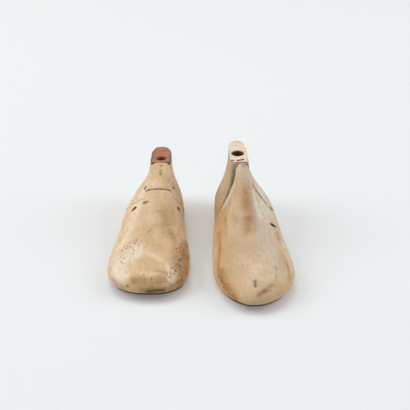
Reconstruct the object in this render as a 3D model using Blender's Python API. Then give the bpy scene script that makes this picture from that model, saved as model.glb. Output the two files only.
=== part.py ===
"""A pair of shoemaker's wooden lasts that stand side by side, toes towards -Y.

The block last has a lift-off instep block, held in line by a tongue. The hinged last is sawn in two
and its heel part turns on a link, so that the last gets shorter and can be drawn out of a finished shoe.
Metres, +Z up, floor at z = 0. Each last is built in its own frame first: x towards its outer (lateral) side,
y from the toe tip to the heel, z up.
"""

import math
from types import SimpleNamespace

import bmesh
import bpy
import numpy as np
from mathutils import Matrix, Vector

MM = 0.001

# Sizes that both lasts share
FIT_GAP = 0.3 * MM
SOLE_PLATE_THICKNESS = 1.2 * MM
PIN_DIAMETER = 4.0 * MM
PIN_RECESS = 3.0 * MM
THIMBLE_WALL = 0.8 * MM
THIMBLE_LENGTH = 36.0 * MM
BORE_BELOW_THIMBLE = 4.0 * MM
BRAD_DIAMETER = 2.2 * MM
BRAD_LENGTH = 8.0 * MM
BRAD_RECESS = 0.2 * MM
NAIL_DIAMETER = 1.6 * MM
NAIL_LENGTH = 7.0 * MM
REACH = 120.0 * MM
SHORT_REACH = 30.0 * MM

# The block last
BLOCK_LENGTH = 217.0 * MM
BLOCK_BALL_WIDTH = 78.0 * MM
BLOCK_HEIGHT = 73.0 * MM
BLOCK_TOE_X = -45.84 * MM
BLOCK_TOE_Y = -98.75 * MM
BLOCK_TURN = math.radians(0.0)
BLOCK_TOP_TILT = math.radians(5.0)
BLOCK_TOP_FRONT = 155.0 * MM
BLOCK_TOP_PLATE_THICKNESS = 3.0 * MM
BLOCK_JACK_BORE = 10.8 * MM
BLOCK_JACK_BEHIND_FRONT = 13.2 * MM
BLOCK_JACK_Y = BLOCK_TOP_FRONT + BLOCK_JACK_BEHIND_FRONT
BLOCK_JACK_X = -3.4 * MM
BLOCK_TOE_REACH_SHARES = (0.20, 0.22)
BLOCK_TOE_ROUNDNESS = (2.3, 2.15)
WEDGE_FRONT_Y = 121.0 * MM
WEDGE_FRONT_Z = 58.5 * MM
WEDGE_FOOT_Y = 148.0 * MM
WEDGE_FOOT_Z = 22.5 * MM
WEDGE_FOOT_RADIUS = 4.0 * MM
TONGUE_LENGTH = 40.0 * MM
TONGUE_WIDTH = 10.0 * MM
TONGUE_THICKNESS = 4.0 * MM
TONGUE_FOOT_Z = 14.5 * MM
FORK_DEPTH = 11.0 * MM
BLOCK_PIN_Y = 145.5 * MM
BLOCK_PIN_TONGUE_SHARE = 0.8375
BLOCK_PIN_Z = TONGUE_FOOT_Z + BLOCK_PIN_TONGUE_SHARE * TONGUE_LENGTH
BODY_FRONT_PIN_Y = 130.0 * MM
BODY_FRONT_PIN_Z = 31.0 * MM
BODY_REAR_PIN_Y = 147.0 * MM
BODY_REAR_PIN_Z = 20.5 * MM
PEG_BEFORE_WEDGE = 13.0 * MM
PEG_Y = WEDGE_FRONT_Y - PEG_BEFORE_WEDGE
PEG_RIDGE_SHARE = 0.92360163
PEG_DEPTH = 9.0 * MM
PEG_RECESS = 1.5 * MM

# The hinged last
HINGED_LENGTH = 225.0 * MM
HINGED_BALL_WIDTH = 77.0 * MM
HINGED_HEIGHT = 80.0 * MM
HINGED_TOE_X = 48.16 * MM
HINGED_TOE_Y = -118.25 * MM
HINGED_TURN = math.radians(2.0)
HINGED_TOP_TILT = math.radians(-3.0)
HINGED_TOP_FRONT = 160.5 * MM
HINGED_TOP_PLATE_THICKNESS = 1.4 * MM
HINGED_JACK_BORE = 13.5 * MM
HINGED_JACK_Y = 180.8 * MM
HINGED_JACK_X = -3.2 * MM
HINGED_NAIL_Y = 199.0 * MM
HINGED_NAIL_X = -4.2 * MM
HINGED_TOE_REACH_SHARES = (0.235, 0.30)
HINGED_TOE_ROUNDNESS = (1.85, 1.7)
FRONT_PIN_Y = 124.0 * MM
FRONT_PIN_Z = 24.5 * MM
REAR_PIN_Y = 155.5 * MM
REAR_PIN_Z = 27.5 * MM
WOOD_BEYOND_PIN = 9.0 * MM
LINK_HALF_HEIGHT = 7.5 * MM
LINK_THICKNESS = 3.0 * MM
LINK_SWING_ROOM = 3.0 * MM
JOINT_TOP_GAP = 6.3 * MM

# The form's two ends: where the toe and the heel stand out furthest, as shares of the height, and over
# which shares of the length they bulge beyond the sole's edge and round off, seen from the side and from
# above
NOSE_HEIGHT_SHARE = 0.15
BACK_HEIGHT_SHARE = 0.36
TOE_OVERHANG_SHARE = 0.0092
HEEL_OVERHANG_SHARE = 0.0184
TOE_RISE_SHARE = 0.06
HEEL_FALL_SHARE = 0.12
HEEL_REACH_SHARE = 0.155
HEEL_FALL_ROUNDNESS = 1.8
ROUNDNESS_OF_ELLIPSE = 2.0

# Where the thin plates under the soles end, and where their brads stand, as shares of the length and the
# ball width
SOLE_PLATE_END_SHARE = 0.56
HEEL_PLATE_START_SHARE = 0.745
SOLE_BRAD_SHARES = ((0.11, 0.02), (0.27, 0.31), (0.27, -0.27), (0.47, 0.03))
HEEL_BRAD_SHARES = ((0.79, 0.16), (0.79, -0.14), (0.90, 0.01))

# How the form is divided
RING_COUNT = 40
TOE_RING_SHARES = (0.2, 0.55, 1.0, 1.3, 1.85)
HEEL_RING_SHARES = (0.1, 0.35, 0.65, 1.0, 1.3)
RING_CLEARANCE_SHARES = (0.46, 0.3)
FOOT_STEPS = 3
FLANK_STEPS = 5
CROWN_STEPS = 5
ROUND_STEPS = 24
SMALL_ROUND_STEPS = 12
ARC_STEPS = 6
SMOOTH_BELOW_ANGLE = math.radians(35.0)

# The form at stations along the length. Heights are shares of the last's height, widths of its ball
# width. "neck" is the half width below the crown as a share of the side's widest half width, "crown" the
# share of the height above the widest point that the rounded top takes, "square" how far the top's Bezier
# handles reach (0.55 for an ellipse, more for a flatter top with rounder corners), "hollow" how far down
# the flank stays narrow.
STATION_COLUMNS = (
    "at", "sole", "ridge", "foot_lateral", "foot_medial", "wide_lateral", "wide_medial", "wide_height",
    "neck", "crown", "square", "hollow", "lean",
)
BLOCK_STATION_SHARES = (
    (0.00, 0.10, 0.26, 0.47, 0.41, 0.52, 0.44, 0.16, 0.99, 0.86, 0.55, 0.50, 0.000),
    (0.08, 0.05, 0.30, 0.50, 0.43, 0.545, 0.46, 0.15, 0.99, 0.86, 0.55, 0.50, 0.000),
    (0.17, 0.01, 0.36, 0.51, 0.42, 0.565, 0.46, 0.16, 0.97, 0.87, 0.55, 0.50, 0.000),
    (0.28, -0.01, 0.44, 0.50, 0.40, 0.565, 0.45, 0.18, 0.89, 0.88, 0.55, 0.45, 0.000),
    (0.40, 0.03, 0.58, 0.43, 0.35, 0.515, 0.415, 0.21, 0.74, 0.82, 0.60, 0.38, -0.015),
    (0.50, 0.08, 0.73, 0.37, 0.29, 0.485, 0.385, 0.23, 0.56, 0.60, 0.72, 0.30, -0.035),
    (0.60, 0.09, 0.86, 0.33, 0.27, 0.47, 0.365, 0.24, 0.44, 0.36, 0.78, 0.25, -0.050),
    (0.70, 0.03, 0.995, 0.33, 0.28, 0.445, 0.36, 0.24, 0.38, 0.20, 0.75, 0.38, -0.050),
    (0.80, -0.02, 1.10, 0.33, 0.29, 0.385, 0.335, 0.26, 0.39, 0.15, 0.65, 0.64, -0.050),
    (0.90, -0.02, 1.15, 0.31, 0.28, 0.33, 0.29, 0.28, 0.43, 0.15, 0.60, 0.70, -0.045),
    (1.00, -0.02, 1.15, 0.30, 0.28, 0.32, 0.29, 0.29, 0.28, 0.15, 0.60, 0.70, -0.045),
)
HINGED_STATION_SHARES = (
    (0.00, 0.09, 0.23, 0.45, 0.38, 0.52, 0.43, 0.15, 0.99, 0.86, 0.55, 0.50, 0.000),
    (0.08, 0.04, 0.27, 0.48, 0.41, 0.54, 0.455, 0.14, 0.99, 0.86, 0.55, 0.50, 0.000),
    (0.17, 0.01, 0.33, 0.49, 0.42, 0.565, 0.465, 0.15, 0.97, 0.87, 0.55, 0.50, 0.000),
    (0.28, -0.01, 0.42, 0.49, 0.40, 0.57, 0.45, 0.17, 0.91, 0.88, 0.55, 0.45, 0.000),
    (0.40, 0.02, 0.56, 0.44, 0.37, 0.545, 0.44, 0.19, 0.75, 0.82, 0.55, 0.38, -0.010),
    (0.50, 0.07, 0.71, 0.38, 0.31, 0.515, 0.42, 0.20, 0.53, 0.62, 0.55, 0.30, -0.015),
    (0.60, 0.09, 0.87, 0.34, 0.28, 0.495, 0.385, 0.22, 0.35, 0.42, 0.55, 0.30, -0.015),
    (0.685, 0.04, 1.03, 0.34, 0.29, 0.475, 0.37, 0.23, 0.24, 0.20, 0.55, 0.40, -0.010),
    (0.72, 0.02, 1.06, 0.34, 0.30, 0.47, 0.37, 0.24, 0.30, 0.18, 0.55, 0.50, -0.040),
    (0.80, -0.02, 1.13, 0.34, 0.30, 0.435, 0.36, 0.26, 0.315, 0.15, 0.55, 0.62, -0.046),
    (0.90, -0.02, 1.18, 0.32, 0.30, 0.365, 0.335, 0.28, 0.32, 0.15, 0.55, 0.66, -0.044),
    (1.00, -0.02, 1.14, 0.31, 0.30, 0.33, 0.325, 0.29, 0.10, 0.15, 0.55, 0.70, -0.040),
)
# The saw cut of the hinged last, seen from its side, as shares of the rear pin's place and the height
JOINT_CUT_SHARES = (
    (0.902, -0.06), (0.92, 0.125), (0.952, 0.31), (0.982, 0.46), (1.01, 0.625), (1.028, 0.79),
    (1.032, 1.35),
)
JOINT_CLOSED_BELOW_SHARE = 0.35

# How far the Bezier handles of a ring reach: out and up from the sole's edge, and up from the widest point
FOOT_OUT_SHARE = 0.75
FOOT_UP_SHARES = (0.15, 0.55)
FLANK_UP_SHARE = 0.2
NARROWEST_FOOT_SHARE = 0.25


def block_last_sizes():
    """The block last's own values, gathered under the names that the shared functions read."""
    return SimpleNamespace(
        name="block_last",
        lateral=-1.0,
        length=BLOCK_LENGTH,
        ball=BLOCK_BALL_WIDTH,
        height=BLOCK_HEIGHT,
        toe_x=BLOCK_TOE_X,
        toe_y=BLOCK_TOE_Y,
        turn=BLOCK_TURN,
        stations=BLOCK_STATION_SHARES,
        toe_reach_shares=BLOCK_TOE_REACH_SHARES,
        toe_roundness=BLOCK_TOE_ROUNDNESS,
        top_tilt=BLOCK_TOP_TILT,
        top_front=BLOCK_TOP_FRONT,
        top_plate=BLOCK_TOP_PLATE_THICKNESS,
        jack_x=BLOCK_JACK_X,
        jack_y=BLOCK_JACK_Y,
        jack_bore=BLOCK_JACK_BORE,
    )


def hinged_last_sizes():
    """The hinged last's own values, under the same names."""
    return SimpleNamespace(
        name="hinged_last",
        lateral=1.0,
        length=HINGED_LENGTH,
        ball=HINGED_BALL_WIDTH,
        height=HINGED_HEIGHT,
        toe_x=HINGED_TOE_X,
        toe_y=HINGED_TOE_Y,
        turn=HINGED_TURN,
        stations=HINGED_STATION_SHARES,
        toe_reach_shares=HINGED_TOE_REACH_SHARES,
        toe_roundness=HINGED_TOE_ROUNDNESS,
        top_tilt=HINGED_TOP_TILT,
        top_front=HINGED_TOP_FRONT,
        top_plate=HINGED_TOP_PLATE_THICKNESS,
        jack_x=HINGED_JACK_X,
        jack_y=HINGED_JACK_Y,
        jack_bore=HINGED_JACK_BORE,
    )


# The form of a last


def smooth_between(stations, values, at):
    """Cubic curve through the stations; its slope at each comes from the two neighbours."""
    slopes = np.gradient(values, stations)
    i = np.clip(np.searchsorted(stations, at, side="right") - 1, 0, len(stations) - 2)
    step = stations[i + 1] - stations[i]
    t = (at - stations[i]) / step
    keep_start = 2 * t**3 - 3 * t**2 + 1
    keep_end = 3 * t**2 - 2 * t**3
    bend_start = (t**3 - 2 * t**2 + t) * step
    bend_end = (t**3 - t**2) * step
    from_start = keep_start * values[i] + bend_start * slopes[i]
    return from_start + keep_end * values[i + 1] + bend_end * slopes[i + 1]


def rounding(distance, reach, roundness):
    """Rises from 0 at an end of the last to 1 at the reach, along a superellipse."""
    share = np.clip(distance / reach, 0.0, 1.0)
    return (1.0 - (1.0 - share) ** roundness) ** (1.0 / roundness)


def bezier(start, handle_1, handle_2, end, t):
    """Point at t on the cubic Bezier curve; works on whole arrays of curves."""
    u = 1.0 - t
    return u**3 * start + 3 * u**2 * t * handle_1 + 3 * u * t**2 * handle_2 + t**3 * end


def ring_places(last):
    """Distances from the toe tip at which the form's rings stand: close together at both ends."""
    even = last.length * (1.0 - np.cos(np.pi * np.arange(1, RING_COUNT) / RING_COUNT)) / 2.0
    toe_overhang, heel_overhang = overhangs(last)
    toe = toe_overhang * np.array(TOE_RING_SHARES)
    heel = last.length - heel_overhang * np.array(HEEL_RING_SHARES)
    first = toe[-1] + toe_overhang * RING_CLEARANCE_SHARES[0]
    final = heel[-1] - heel_overhang * RING_CLEARANCE_SHARES[1]
    middle = even[(even > first) & (even < final)]
    return np.concatenate([toe, middle, heel[::-1]])


def overhangs(last):
    """How far the toe and the heel bulge beyond the edge of the sole."""
    return TOE_OVERHANG_SHARE * last.length, HEEL_OVERHANG_SHARE * last.length


def end_heights(last):
    """Heights at which the toe and the heel stand out furthest."""
    return NOSE_HEIGHT_SHARE * last.height, BACK_HEIGHT_SHARE * last.height


def outline_values(last, at):
    """Every height and half width of the form at the given distances from the toe tip."""
    table = np.array(last.stations)
    share = {}
    for i, name in enumerate(STATION_COLUMNS):
        share[name] = smooth_between(table[:, 0], table[:, i], at / last.length)
    toe_overhang, heel_overhang = overhangs(last)
    heel_reach = HEEL_REACH_SHARE * last.length
    nose_height, back_height = end_heights(last)
    middle = np.where(at < last.length / 2, nose_height, back_height)
    to_heel = last.length - at
    upper = rounding(at, TOE_RISE_SHARE * last.length, ROUNDNESS_OF_ELLIPSE)
    upper = upper * rounding(to_heel, HEEL_FALL_SHARE * last.length, HEEL_FALL_ROUNDNESS)
    lower = rounding(at, 2 * toe_overhang, ROUNDNESS_OF_ELLIPSE)
    lower = lower * rounding(to_heel, 2 * heel_overhang, ROUNDNESS_OF_ELLIPSE)
    floor = SOLE_PLATE_THICKNESS + FIT_GAP
    v = SimpleNamespace()
    v.sole = floor + last.height * np.maximum(share["sole"], 0.0)
    v.sole = middle + (v.sole - middle) * lower
    v.ridge = middle + (last.height * share["ridge"] - middle) * upper
    v.wide_height = middle + (last.height * share["wide_height"] - middle) * np.minimum(upper, lower)
    v.centre = last.ball * share["lean"] * upper
    v.crown = (v.ridge - v.wide_height) * share["crown"]
    v.hollow = share["hollow"]
    v.square = share["square"]
    v.sides = []
    heel = rounding(to_heel, heel_reach, ROUNDNESS_OF_ELLIPSE)
    foot_heel = rounding(to_heel - heel_overhang, heel_reach, ROUNDNESS_OF_ELLIPSE)
    for side, reach_share, roundness in zip(("lateral", "medial"), last.toe_reach_shares, last.toe_roundness):
        reach = reach_share * last.length
        wide = last.ball * share["wide_" + side] * rounding(at, reach, roundness) * heel
        foot = last.ball * share["foot_" + side] * rounding(at - toe_overhang, reach, roundness) * foot_heel
        foot = np.maximum(foot, NARROWEST_FOOT_SHARE * wide)
        v.sides.append(SimpleNamespace(wide=wide, foot=foot, neck=wide * share["neck"]))
    return v


def half_ring(v, side, centre):
    """Points up one side from the edge of the sole to the ridge: (distance from the axis, height) pairs."""
    neck_x = centre + side.neck
    neck_z = v.ridge - v.crown
    rise = neck_z - v.wide_height
    tuck = v.wide_height - v.sole
    points = []
    for t in np.arange(FOOT_STEPS) / FOOT_STEPS:
        x = bezier(side.foot, side.foot + (side.wide - side.foot) * FOOT_OUT_SHARE, side.wide, side.wide, t)
        low, high = (v.sole + tuck * up_share for up_share in FOOT_UP_SHARES)
        z = bezier(v.sole, low, high, v.wide_height, t)
        points.append((x, z))
    for t in np.arange(FLANK_STEPS) / FLANK_STEPS:
        x = bezier(side.wide, side.wide, neck_x, neck_x, t)
        low_handle = v.wide_height + rise * FLANK_UP_SHARE
        z = bezier(v.wide_height, low_handle, neck_z - rise * v.hollow, neck_z, t)
        points.append((x, z))
    for t in np.arange(CROWN_STEPS) / CROWN_STEPS:
        x = bezier(neck_x, neck_x, centre + side.neck * v.square, centre, t)
        z = bezier(neck_z, neck_z + v.crown * v.square, v.ridge, v.ridge, t)
        points.append((x, z))
    return points


def form_mesh(last, name):
    """The whole uncut last, as a loft through its rings that closes to a point at the toe and at the heel.

    Each ring is a flat sole, an S-shaped flank on each side and a rounded crown. No primitive goes through
    sections so unlike each other, so the faces are made here.
    """
    at = ring_places(last)
    v = outline_values(last, at)
    lateral = half_ring(v, v.sides[0], v.centre)
    medial = [(-x, z) for x, z in half_ring(v, v.sides[1], -v.centre)]
    middle_of_sole = ((v.sides[0].foot - v.sides[1].foot) / 2.0, v.sole)
    loop = [middle_of_sole] + lateral + [(v.centre, v.ridge)] + medial[::-1]
    rings = np.stack([np.stack([last.lateral * x, at, z], axis=1) for x, z in loop], axis=1)
    ring_count, ring_size = rings.shape[:2]
    bm = bmesh.new()
    verts = [[bm.verts.new(point) for point in ring] for ring in rings]
    nose_height, back_height = end_heights(last)
    nose = bm.verts.new((0.0, 0.0, nose_height))
    back = bm.verts.new((0.0, last.length, back_height))
    for j in range(ring_size):
        k = (j + 1) % ring_size
        for i in range(ring_count - 1):
            bm.faces.new((verts[i][j], verts[i][k], verts[i + 1][k], verts[i + 1][j]))
        bm.faces.new((verts[0][k], verts[0][j], nose))
        bm.faces.new((verts[-1][j], verts[-1][k], back))
    return finished_mesh(bm, name)


def plate_mesh(last, name, start, end):
    """A thin plate under the sole between two distances from the toe tip, parallel to the wood above it."""
    at = ring_places(last)
    at = at[(at >= start - FIT_GAP) & (at <= end + FIT_GAP)]
    v = outline_values(last, at)
    top = v.sole - FIT_GAP
    bottom = top - SOLE_PLATE_THICKNESS
    lateral = last.lateral * v.sides[0].foot
    medial = -last.lateral * v.sides[1].foot
    corners = ((lateral, top), (medial, top), (medial, bottom), (lateral, bottom))
    rows = np.stack([np.stack([x, at, z], axis=1) for x, z in corners], axis=1)
    bm = bmesh.new()
    verts = [[bm.verts.new(point) for point in row] for row in rows]
    for i in range(len(verts) - 1):
        for j in range(4):
            k = (j + 1) % 4
            bm.faces.new((verts[i][j], verts[i][k], verts[i + 1][k], verts[i + 1][j]))
    bm.faces.new(verts[0][::-1])
    bm.faces.new(verts[-1])
    return finished_mesh(bm, name)


# Simple shapes


def finished_mesh(bm, name):
    """Turns the faces outwards and hands the shape over as a mesh."""
    bmesh.ops.recalc_face_normals(bm, faces=bm.faces)
    mesh = bpy.data.meshes.new(name)
    bm.to_mesh(mesh)
    bm.free()
    return mesh


def prism_mesh(name, outline, x_from, x_to):
    """An outline of (y, z) points pulled along X."""
    bm = bmesh.new()
    face = bm.faces.new([bm.verts.new((x_from, y, z)) for y, z in outline])
    pulled = bmesh.ops.extrude_face_region(bm, geom=[face])
    new_verts = [item for item in pulled["geom"] if isinstance(item, bmesh.types.BMVert)]
    bmesh.ops.translate(bm, verts=new_verts, vec=(x_to - x_from, 0.0, 0.0))
    return finished_mesh(bm, name)


def rods_mesh(name, rods, steps):
    """Separate round rods, each given by its middle, direction, diameter and length."""
    bm = bmesh.new()
    for middle, direction, diameter, length in rods:
        turn = Vector((0.0, 0.0, 1.0)).rotation_difference(Vector(direction)).to_matrix().to_4x4()
        bmesh.ops.create_cone(
            bm,
            cap_ends=True,
            segments=steps,
            radius1=diameter / 2,
            radius2=diameter / 2,
            depth=length,
            matrix=Matrix.Translation(middle) @ turn,
        )
    return finished_mesh(bm, name)


def slab_mesh(name, last, bottom, top, front, back):
    """A box parallel to the cone top, between two heights above the plane of the top."""
    middle = Vector((0.0, (front + back) / 2, (bottom + top) / 2))
    size = Vector((2 * REACH, back - front, top - bottom))
    bm = bmesh.new()
    bmesh.ops.create_cube(bm, size=1.0)
    bmesh.ops.scale(bm, vec=size, verts=bm.verts)
    bmesh.ops.translate(bm, vec=middle, verts=bm.verts)
    bmesh.ops.transform(bm, matrix=top_frame(last), verts=bm.verts)
    return finished_mesh(bm, name)


def top_frame(last):
    """Carries the XY plane to the plane of the cone top, with the origin at the middle of its front edge."""
    front = Matrix.Translation((0.0, last.top_front, last.height))
    return front @ Matrix.Rotation(-last.top_tilt, 4, "X")


def on_top(last, x, y, depth=0.0):
    """A point of the cone top, this far below its surface, by its distance across and along the last."""
    along = (y - last.top_front) / math.cos(last.top_tilt)
    return top_frame(last) @ Vector((last.lateral * x, along, -depth))


def rounded_corner(before, corner, after, radius):
    """Points of the arc that rounds a corner between two straight lines."""
    before, corner, after = Vector(before), Vector(corner), Vector(after)
    to_before = (before - corner).normalized()
    to_after = (after - corner).normalized()
    half = to_before.angle(to_after) / 2
    centre = corner + (to_before + to_after).normalized() * radius / math.sin(half)
    start = corner + to_before * radius / math.tan(half) - centre
    end = corner + to_after * radius / math.tan(half) - centre
    sweep = start.angle(end)
    arc = []
    for i in range(ARC_STEPS + 1):
        share = i / ARC_STEPS
        weight_start = math.sin((1 - share) * sweep) / math.sin(sweep)
        weight_end = math.sin(share * sweep) / math.sin(sweep)
        arc.append(centre + start * weight_start + end * weight_end)
    return [(point.x, point.y) for point in arc]


# Objects, materials and cuts


def new_material(name, colour, roughness, metallic=0.0):
    material = bpy.data.materials.new(name)
    material.use_nodes = True
    shader = material.node_tree.nodes["Principled BSDF"]
    shader.inputs["Base Color"].default_value = (*colour, 1.0)
    shader.inputs["Roughness"].default_value = roughness
    shader.inputs["Metallic"].default_value = metallic
    material.diffuse_color = (*colour, 1.0)
    return material


def add_object(last, name, mesh, collection, origin=(0.0, 0.0, 0.0)):
    """Puts a mesh built in the last's own frame where the last stands, its origin at a given point."""
    origin = Vector(origin)
    mesh.transform(Matrix.Translation(-origin))
    obj = bpy.data.objects.new(name, mesh)
    collection.objects.link(obj)
    place = Matrix.Translation((last.toe_x, last.toe_y, 0.0)) @ Matrix.Rotation(last.turn, 4, "Z")
    obj.location = place @ origin
    obj.rotation_euler = (0.0, 0.0, last.turn)
    return obj


def add_part(last, name, mesh, look, origin=(0.0, 0.0, 0.0), smooth=True):
    """A piece of the object, named after its last and with a material of its own."""
    full_name = last.name + "_" + name
    obj = add_object(last, full_name, mesh, PARTS, origin)
    obj.data.materials.append(new_material(full_name + "_material", *look))
    if smooth:
        mesh.shade_smooth()
        mesh.set_sharp_from_angle(angle=SMOOTH_BELOW_ANGLE)
    return obj


def add_cutter(last, name, mesh):
    """A shape that only cuts others: kept out of the part and out of renders."""
    obj = add_object(last, last.name + "_" + name, mesh, CUTTERS)
    obj.hide_render = True
    obj.display_type = "WIRE"
    return obj


def cut(obj, cutter, operation="DIFFERENCE"):
    modifier = obj.modifiers.new(cutter.name, "BOOLEAN")
    modifier.object = cutter
    modifier.operation = operation
    modifier.solver = "EXACT"


# Materials: linear colour, roughness, metallic
PALE_WOOD = ((0.62, 0.43, 0.26), 0.6)
GREY_WOOD = ((0.55, 0.42, 0.29), 0.62)
BLOCK_WOOD = ((0.60, 0.42, 0.25), 0.6)
DARK_LEATHER = ((0.07, 0.035, 0.02), 0.7)
RED_LEATHER = ((0.20, 0.06, 0.035), 0.6)
CREAM_FIBRE = ((0.75, 0.66, 0.52), 0.7)
RUSTY_STEEL = ((0.10, 0.05, 0.03), 0.65, 0.4)
DARK_STEEL = ((0.12, 0.11, 0.10), 0.5, 0.9)
PEG_WOOD = ((0.42, 0.26, 0.13), 0.65)


def cross_rod(last, y, z, x_from, x_to, diameter):
    """A rod across the last between two distances from its axis."""
    middle = (last.lateral * (x_from + x_to) / 2, y, z)
    return (middle, (1.0, 0.0, 0.0), diameter, abs(x_to - x_from))


def side_reach(last, y, z):
    """How far the lateral and the medial side of the form reach from the axis at one place and height."""
    v = outline_values(last, np.array([y]))
    reach = []
    for side, centre in ((v.sides[0], v.centre), (v.sides[1], -v.centre)):
        points = half_ring(v, side, centre) + [(centre, v.ridge)]
        heights = [float(p[1][0]) for p in points]
        widths = [float(p[0][0]) for p in points]
        reach.append(float(np.interp(z, heights, widths)))
    return reach


def add_cross_pin(last, name, y, z, holders, wood_beyond=0.0):
    """A steel pin across the last, sunk below both sides, with its bore through each piece on its way.

    Where wood is left beyond the pin, its bore is blind and doesn't show on the medial side.
    """
    lateral, medial = side_reach(last, y, z)
    inner = wood_beyond - medial if wood_beyond else PIN_RECESS - medial
    bore_end = inner - FIT_GAP if wood_beyond else -REACH
    bore = cross_rod(last, y, z, bore_end, REACH, PIN_DIAMETER + 2 * FIT_GAP)
    cutter = add_cutter(last, name + "_bore", rods_mesh(name + "_bore", [bore], ROUND_STEPS))
    for holder in holders:
        cut(holder, cutter)
    rod = cross_rod(last, y, z, inner, lateral - PIN_RECESS, PIN_DIAMETER)
    return add_part(last, name, rods_mesh(name, [rod], ROUND_STEPS), RUSTY_STEEL, (0.0, y, z))


def add_jack_bore(last, wood, plate):
    """The bore that the last is held by on the jack, lined with a thimble below the top plate."""
    up = top_frame(last).to_3x3() @ Vector((0.0, 0.0, 1.0))
    outer = last.jack_bore + 2 * THIMBLE_WALL
    wood_top = last.top_plate + FIT_GAP
    top = on_top(last, last.jack_x, last.jack_y, wood_top)
    depth = THIMBLE_LENGTH + BORE_BELOW_THIMBLE
    blind = [(top + up * (REACH - depth) / 2, up, outer + 2 * FIT_GAP, REACH + depth)]
    cut(wood, add_cutter(last, "thimble_bore", rods_mesh("thimble_bore", blind, ROUND_STEPS)))
    through = [(top, up, last.jack_bore, 2 * REACH)]
    jack_bore = add_cutter(last, "jack_bore", rods_mesh("jack_bore", through, ROUND_STEPS))
    cut(plate, jack_bore)
    sleeve = [(top - up * THIMBLE_LENGTH / 2, up, outer, THIMBLE_LENGTH)]
    thimble = add_part(last, "thimble", rods_mesh("thimble", sleeve, ROUND_STEPS), RUSTY_STEEL)
    cut(thimble, jack_bore)
    return thimble


def add_sole_plates(last, front_wood, heel_wood):
    """The thin plates under the forepart and the heel seat, with the brads that hold them."""
    toe_overhang, heel_overhang = overhangs(last)
    sole_end = SOLE_PLATE_END_SHARE * last.length
    heel_start = HEEL_PLATE_START_SHARE * last.length
    for name, start, end, wood, places in (
        ("sole_plate", toe_overhang, sole_end, front_wood, SOLE_BRAD_SHARES),
        ("heel_plate", heel_start, last.length - heel_overhang, heel_wood, HEEL_BRAD_SHARES),
    ):
        mesh = plate_mesh(last, last.name + "_" + name, start, end)
        plate = add_part(last, name, mesh, DARK_LEATHER, smooth=False)
        bores = []
        for number, (along, across) in enumerate(places, start=1):
            y = along * last.length
            x = last.lateral * across * last.ball
            sole = float(outline_values(last, np.array([y])).sole[0])
            foot = sole - FIT_GAP - SOLE_PLATE_THICKNESS + BRAD_RECESS
            up = (0.0, 0.0, 1.0)
            brad = [((x, y, foot + BRAD_LENGTH / 2), up, BRAD_DIAMETER, BRAD_LENGTH)]
            brad_mesh = rods_mesh("brad", brad, SMALL_ROUND_STEPS)
            add_part(last, f"{name}_brad_{number}", brad_mesh, DARK_STEEL, (x, y, foot))
            bores.append(((x, y, foot), up, BRAD_DIAMETER + 2 * FIT_GAP, 2 * BRAD_LENGTH + 2 * FIT_GAP))
        holes_mesh = rods_mesh(name + "_brad_bores", bores, SMALL_ROUND_STEPS)
        holes = add_cutter(last, name + "_brad_bores", holes_mesh)
        cut(plate, holes)
        cut(wood, holes)


# The block last


def wedge_outline(grow):
    """The lift-off block seen from the side, its faces moved outwards by a given distance."""
    top_z = BLOCK_HEIGHT + SHORT_REACH
    foot = Vector((WEDGE_FOOT_Y, WEDGE_FOOT_Z))
    front = Vector((WEDGE_FRONT_Y, WEDGE_FRONT_Z))
    back = Vector((BLOCK_TOP_FRONT, BLOCK_HEIGHT))
    front_out = Vector((foot.y - front.y, front.x - foot.x)).normalized() * grow
    back_out = Vector((back.y - foot.y, foot.x - back.x)).normalized() * grow
    front_slope = (foot - front).normalized()
    back_slope = (back - foot).normalized()
    front_point = front + front_out
    back_point = back + back_out
    # the lines meet where the front one, followed down, reaches the back one
    across = back_point - front_point
    turn = front_slope.x * back_slope.y - front_slope.y * back_slope.x
    along = (across.x * back_slope.y - across.y * back_slope.x) / turn
    corner = front_point + front_slope * along
    arc = rounded_corner(front_point, corner, back_point, WEDGE_FOOT_RADIUS + grow)
    front_top = front_point - front_slope * (top_z - front_point.y) / abs(front_slope.y)
    back_top = back_point + back_slope * (top_z - back_point.y) / back_slope.y
    return [(front_top.x, front_top.y)] + arc + [(back_top.x, back_top.y)]


def build_block_last():
    last = block_last_sizes()
    body = add_part(last, "body", form_mesh(last, "block_last_body"), PALE_WOOD)
    block_origin = (0.0, BLOCK_PIN_Y, BLOCK_PIN_Z)
    block = add_part(last, "scoop_block", form_mesh(last, "block_last_scoop_block"), BLOCK_WOOD, block_origin)
    plate = add_part(last, "top_plate", form_mesh(last, "block_last_top_plate"), RED_LEATHER)

    seat = add_cutter(last, "seat", prism_mesh("seat", wedge_outline(FIT_GAP), -REACH, REACH))
    wedge = add_cutter(last, "wedge", prism_mesh("wedge", wedge_outline(0.0), -REACH, REACH))
    behind = -BLOCK_TOP_PLATE_THICKNESS
    above_wood = slab_mesh("above_wood", last, behind - FIT_GAP, REACH, behind, REACH)
    plate_room = slab_mesh("plate_room", last, behind, 0.0, behind, REACH)
    cut(body, seat)
    cut(body, add_cutter(last, "above_wood", above_wood))
    cut(block, wedge, "INTERSECT")
    cut(plate, seat)
    add_jack_bore(last, body, plate)
    cut(plate, add_cutter(last, "plate_room", plate_room), "INTERSECT")

    add_tongue(last, body, block)
    add_cross_pin(last, "body_front_pin", BODY_FRONT_PIN_Y, BODY_FRONT_PIN_Z, [body])
    add_cross_pin(last, "body_rear_pin", BODY_REAR_PIN_Y, BODY_REAR_PIN_Z, [body])
    add_peg(last, body)
    add_sole_plates(last, body, body)


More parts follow.
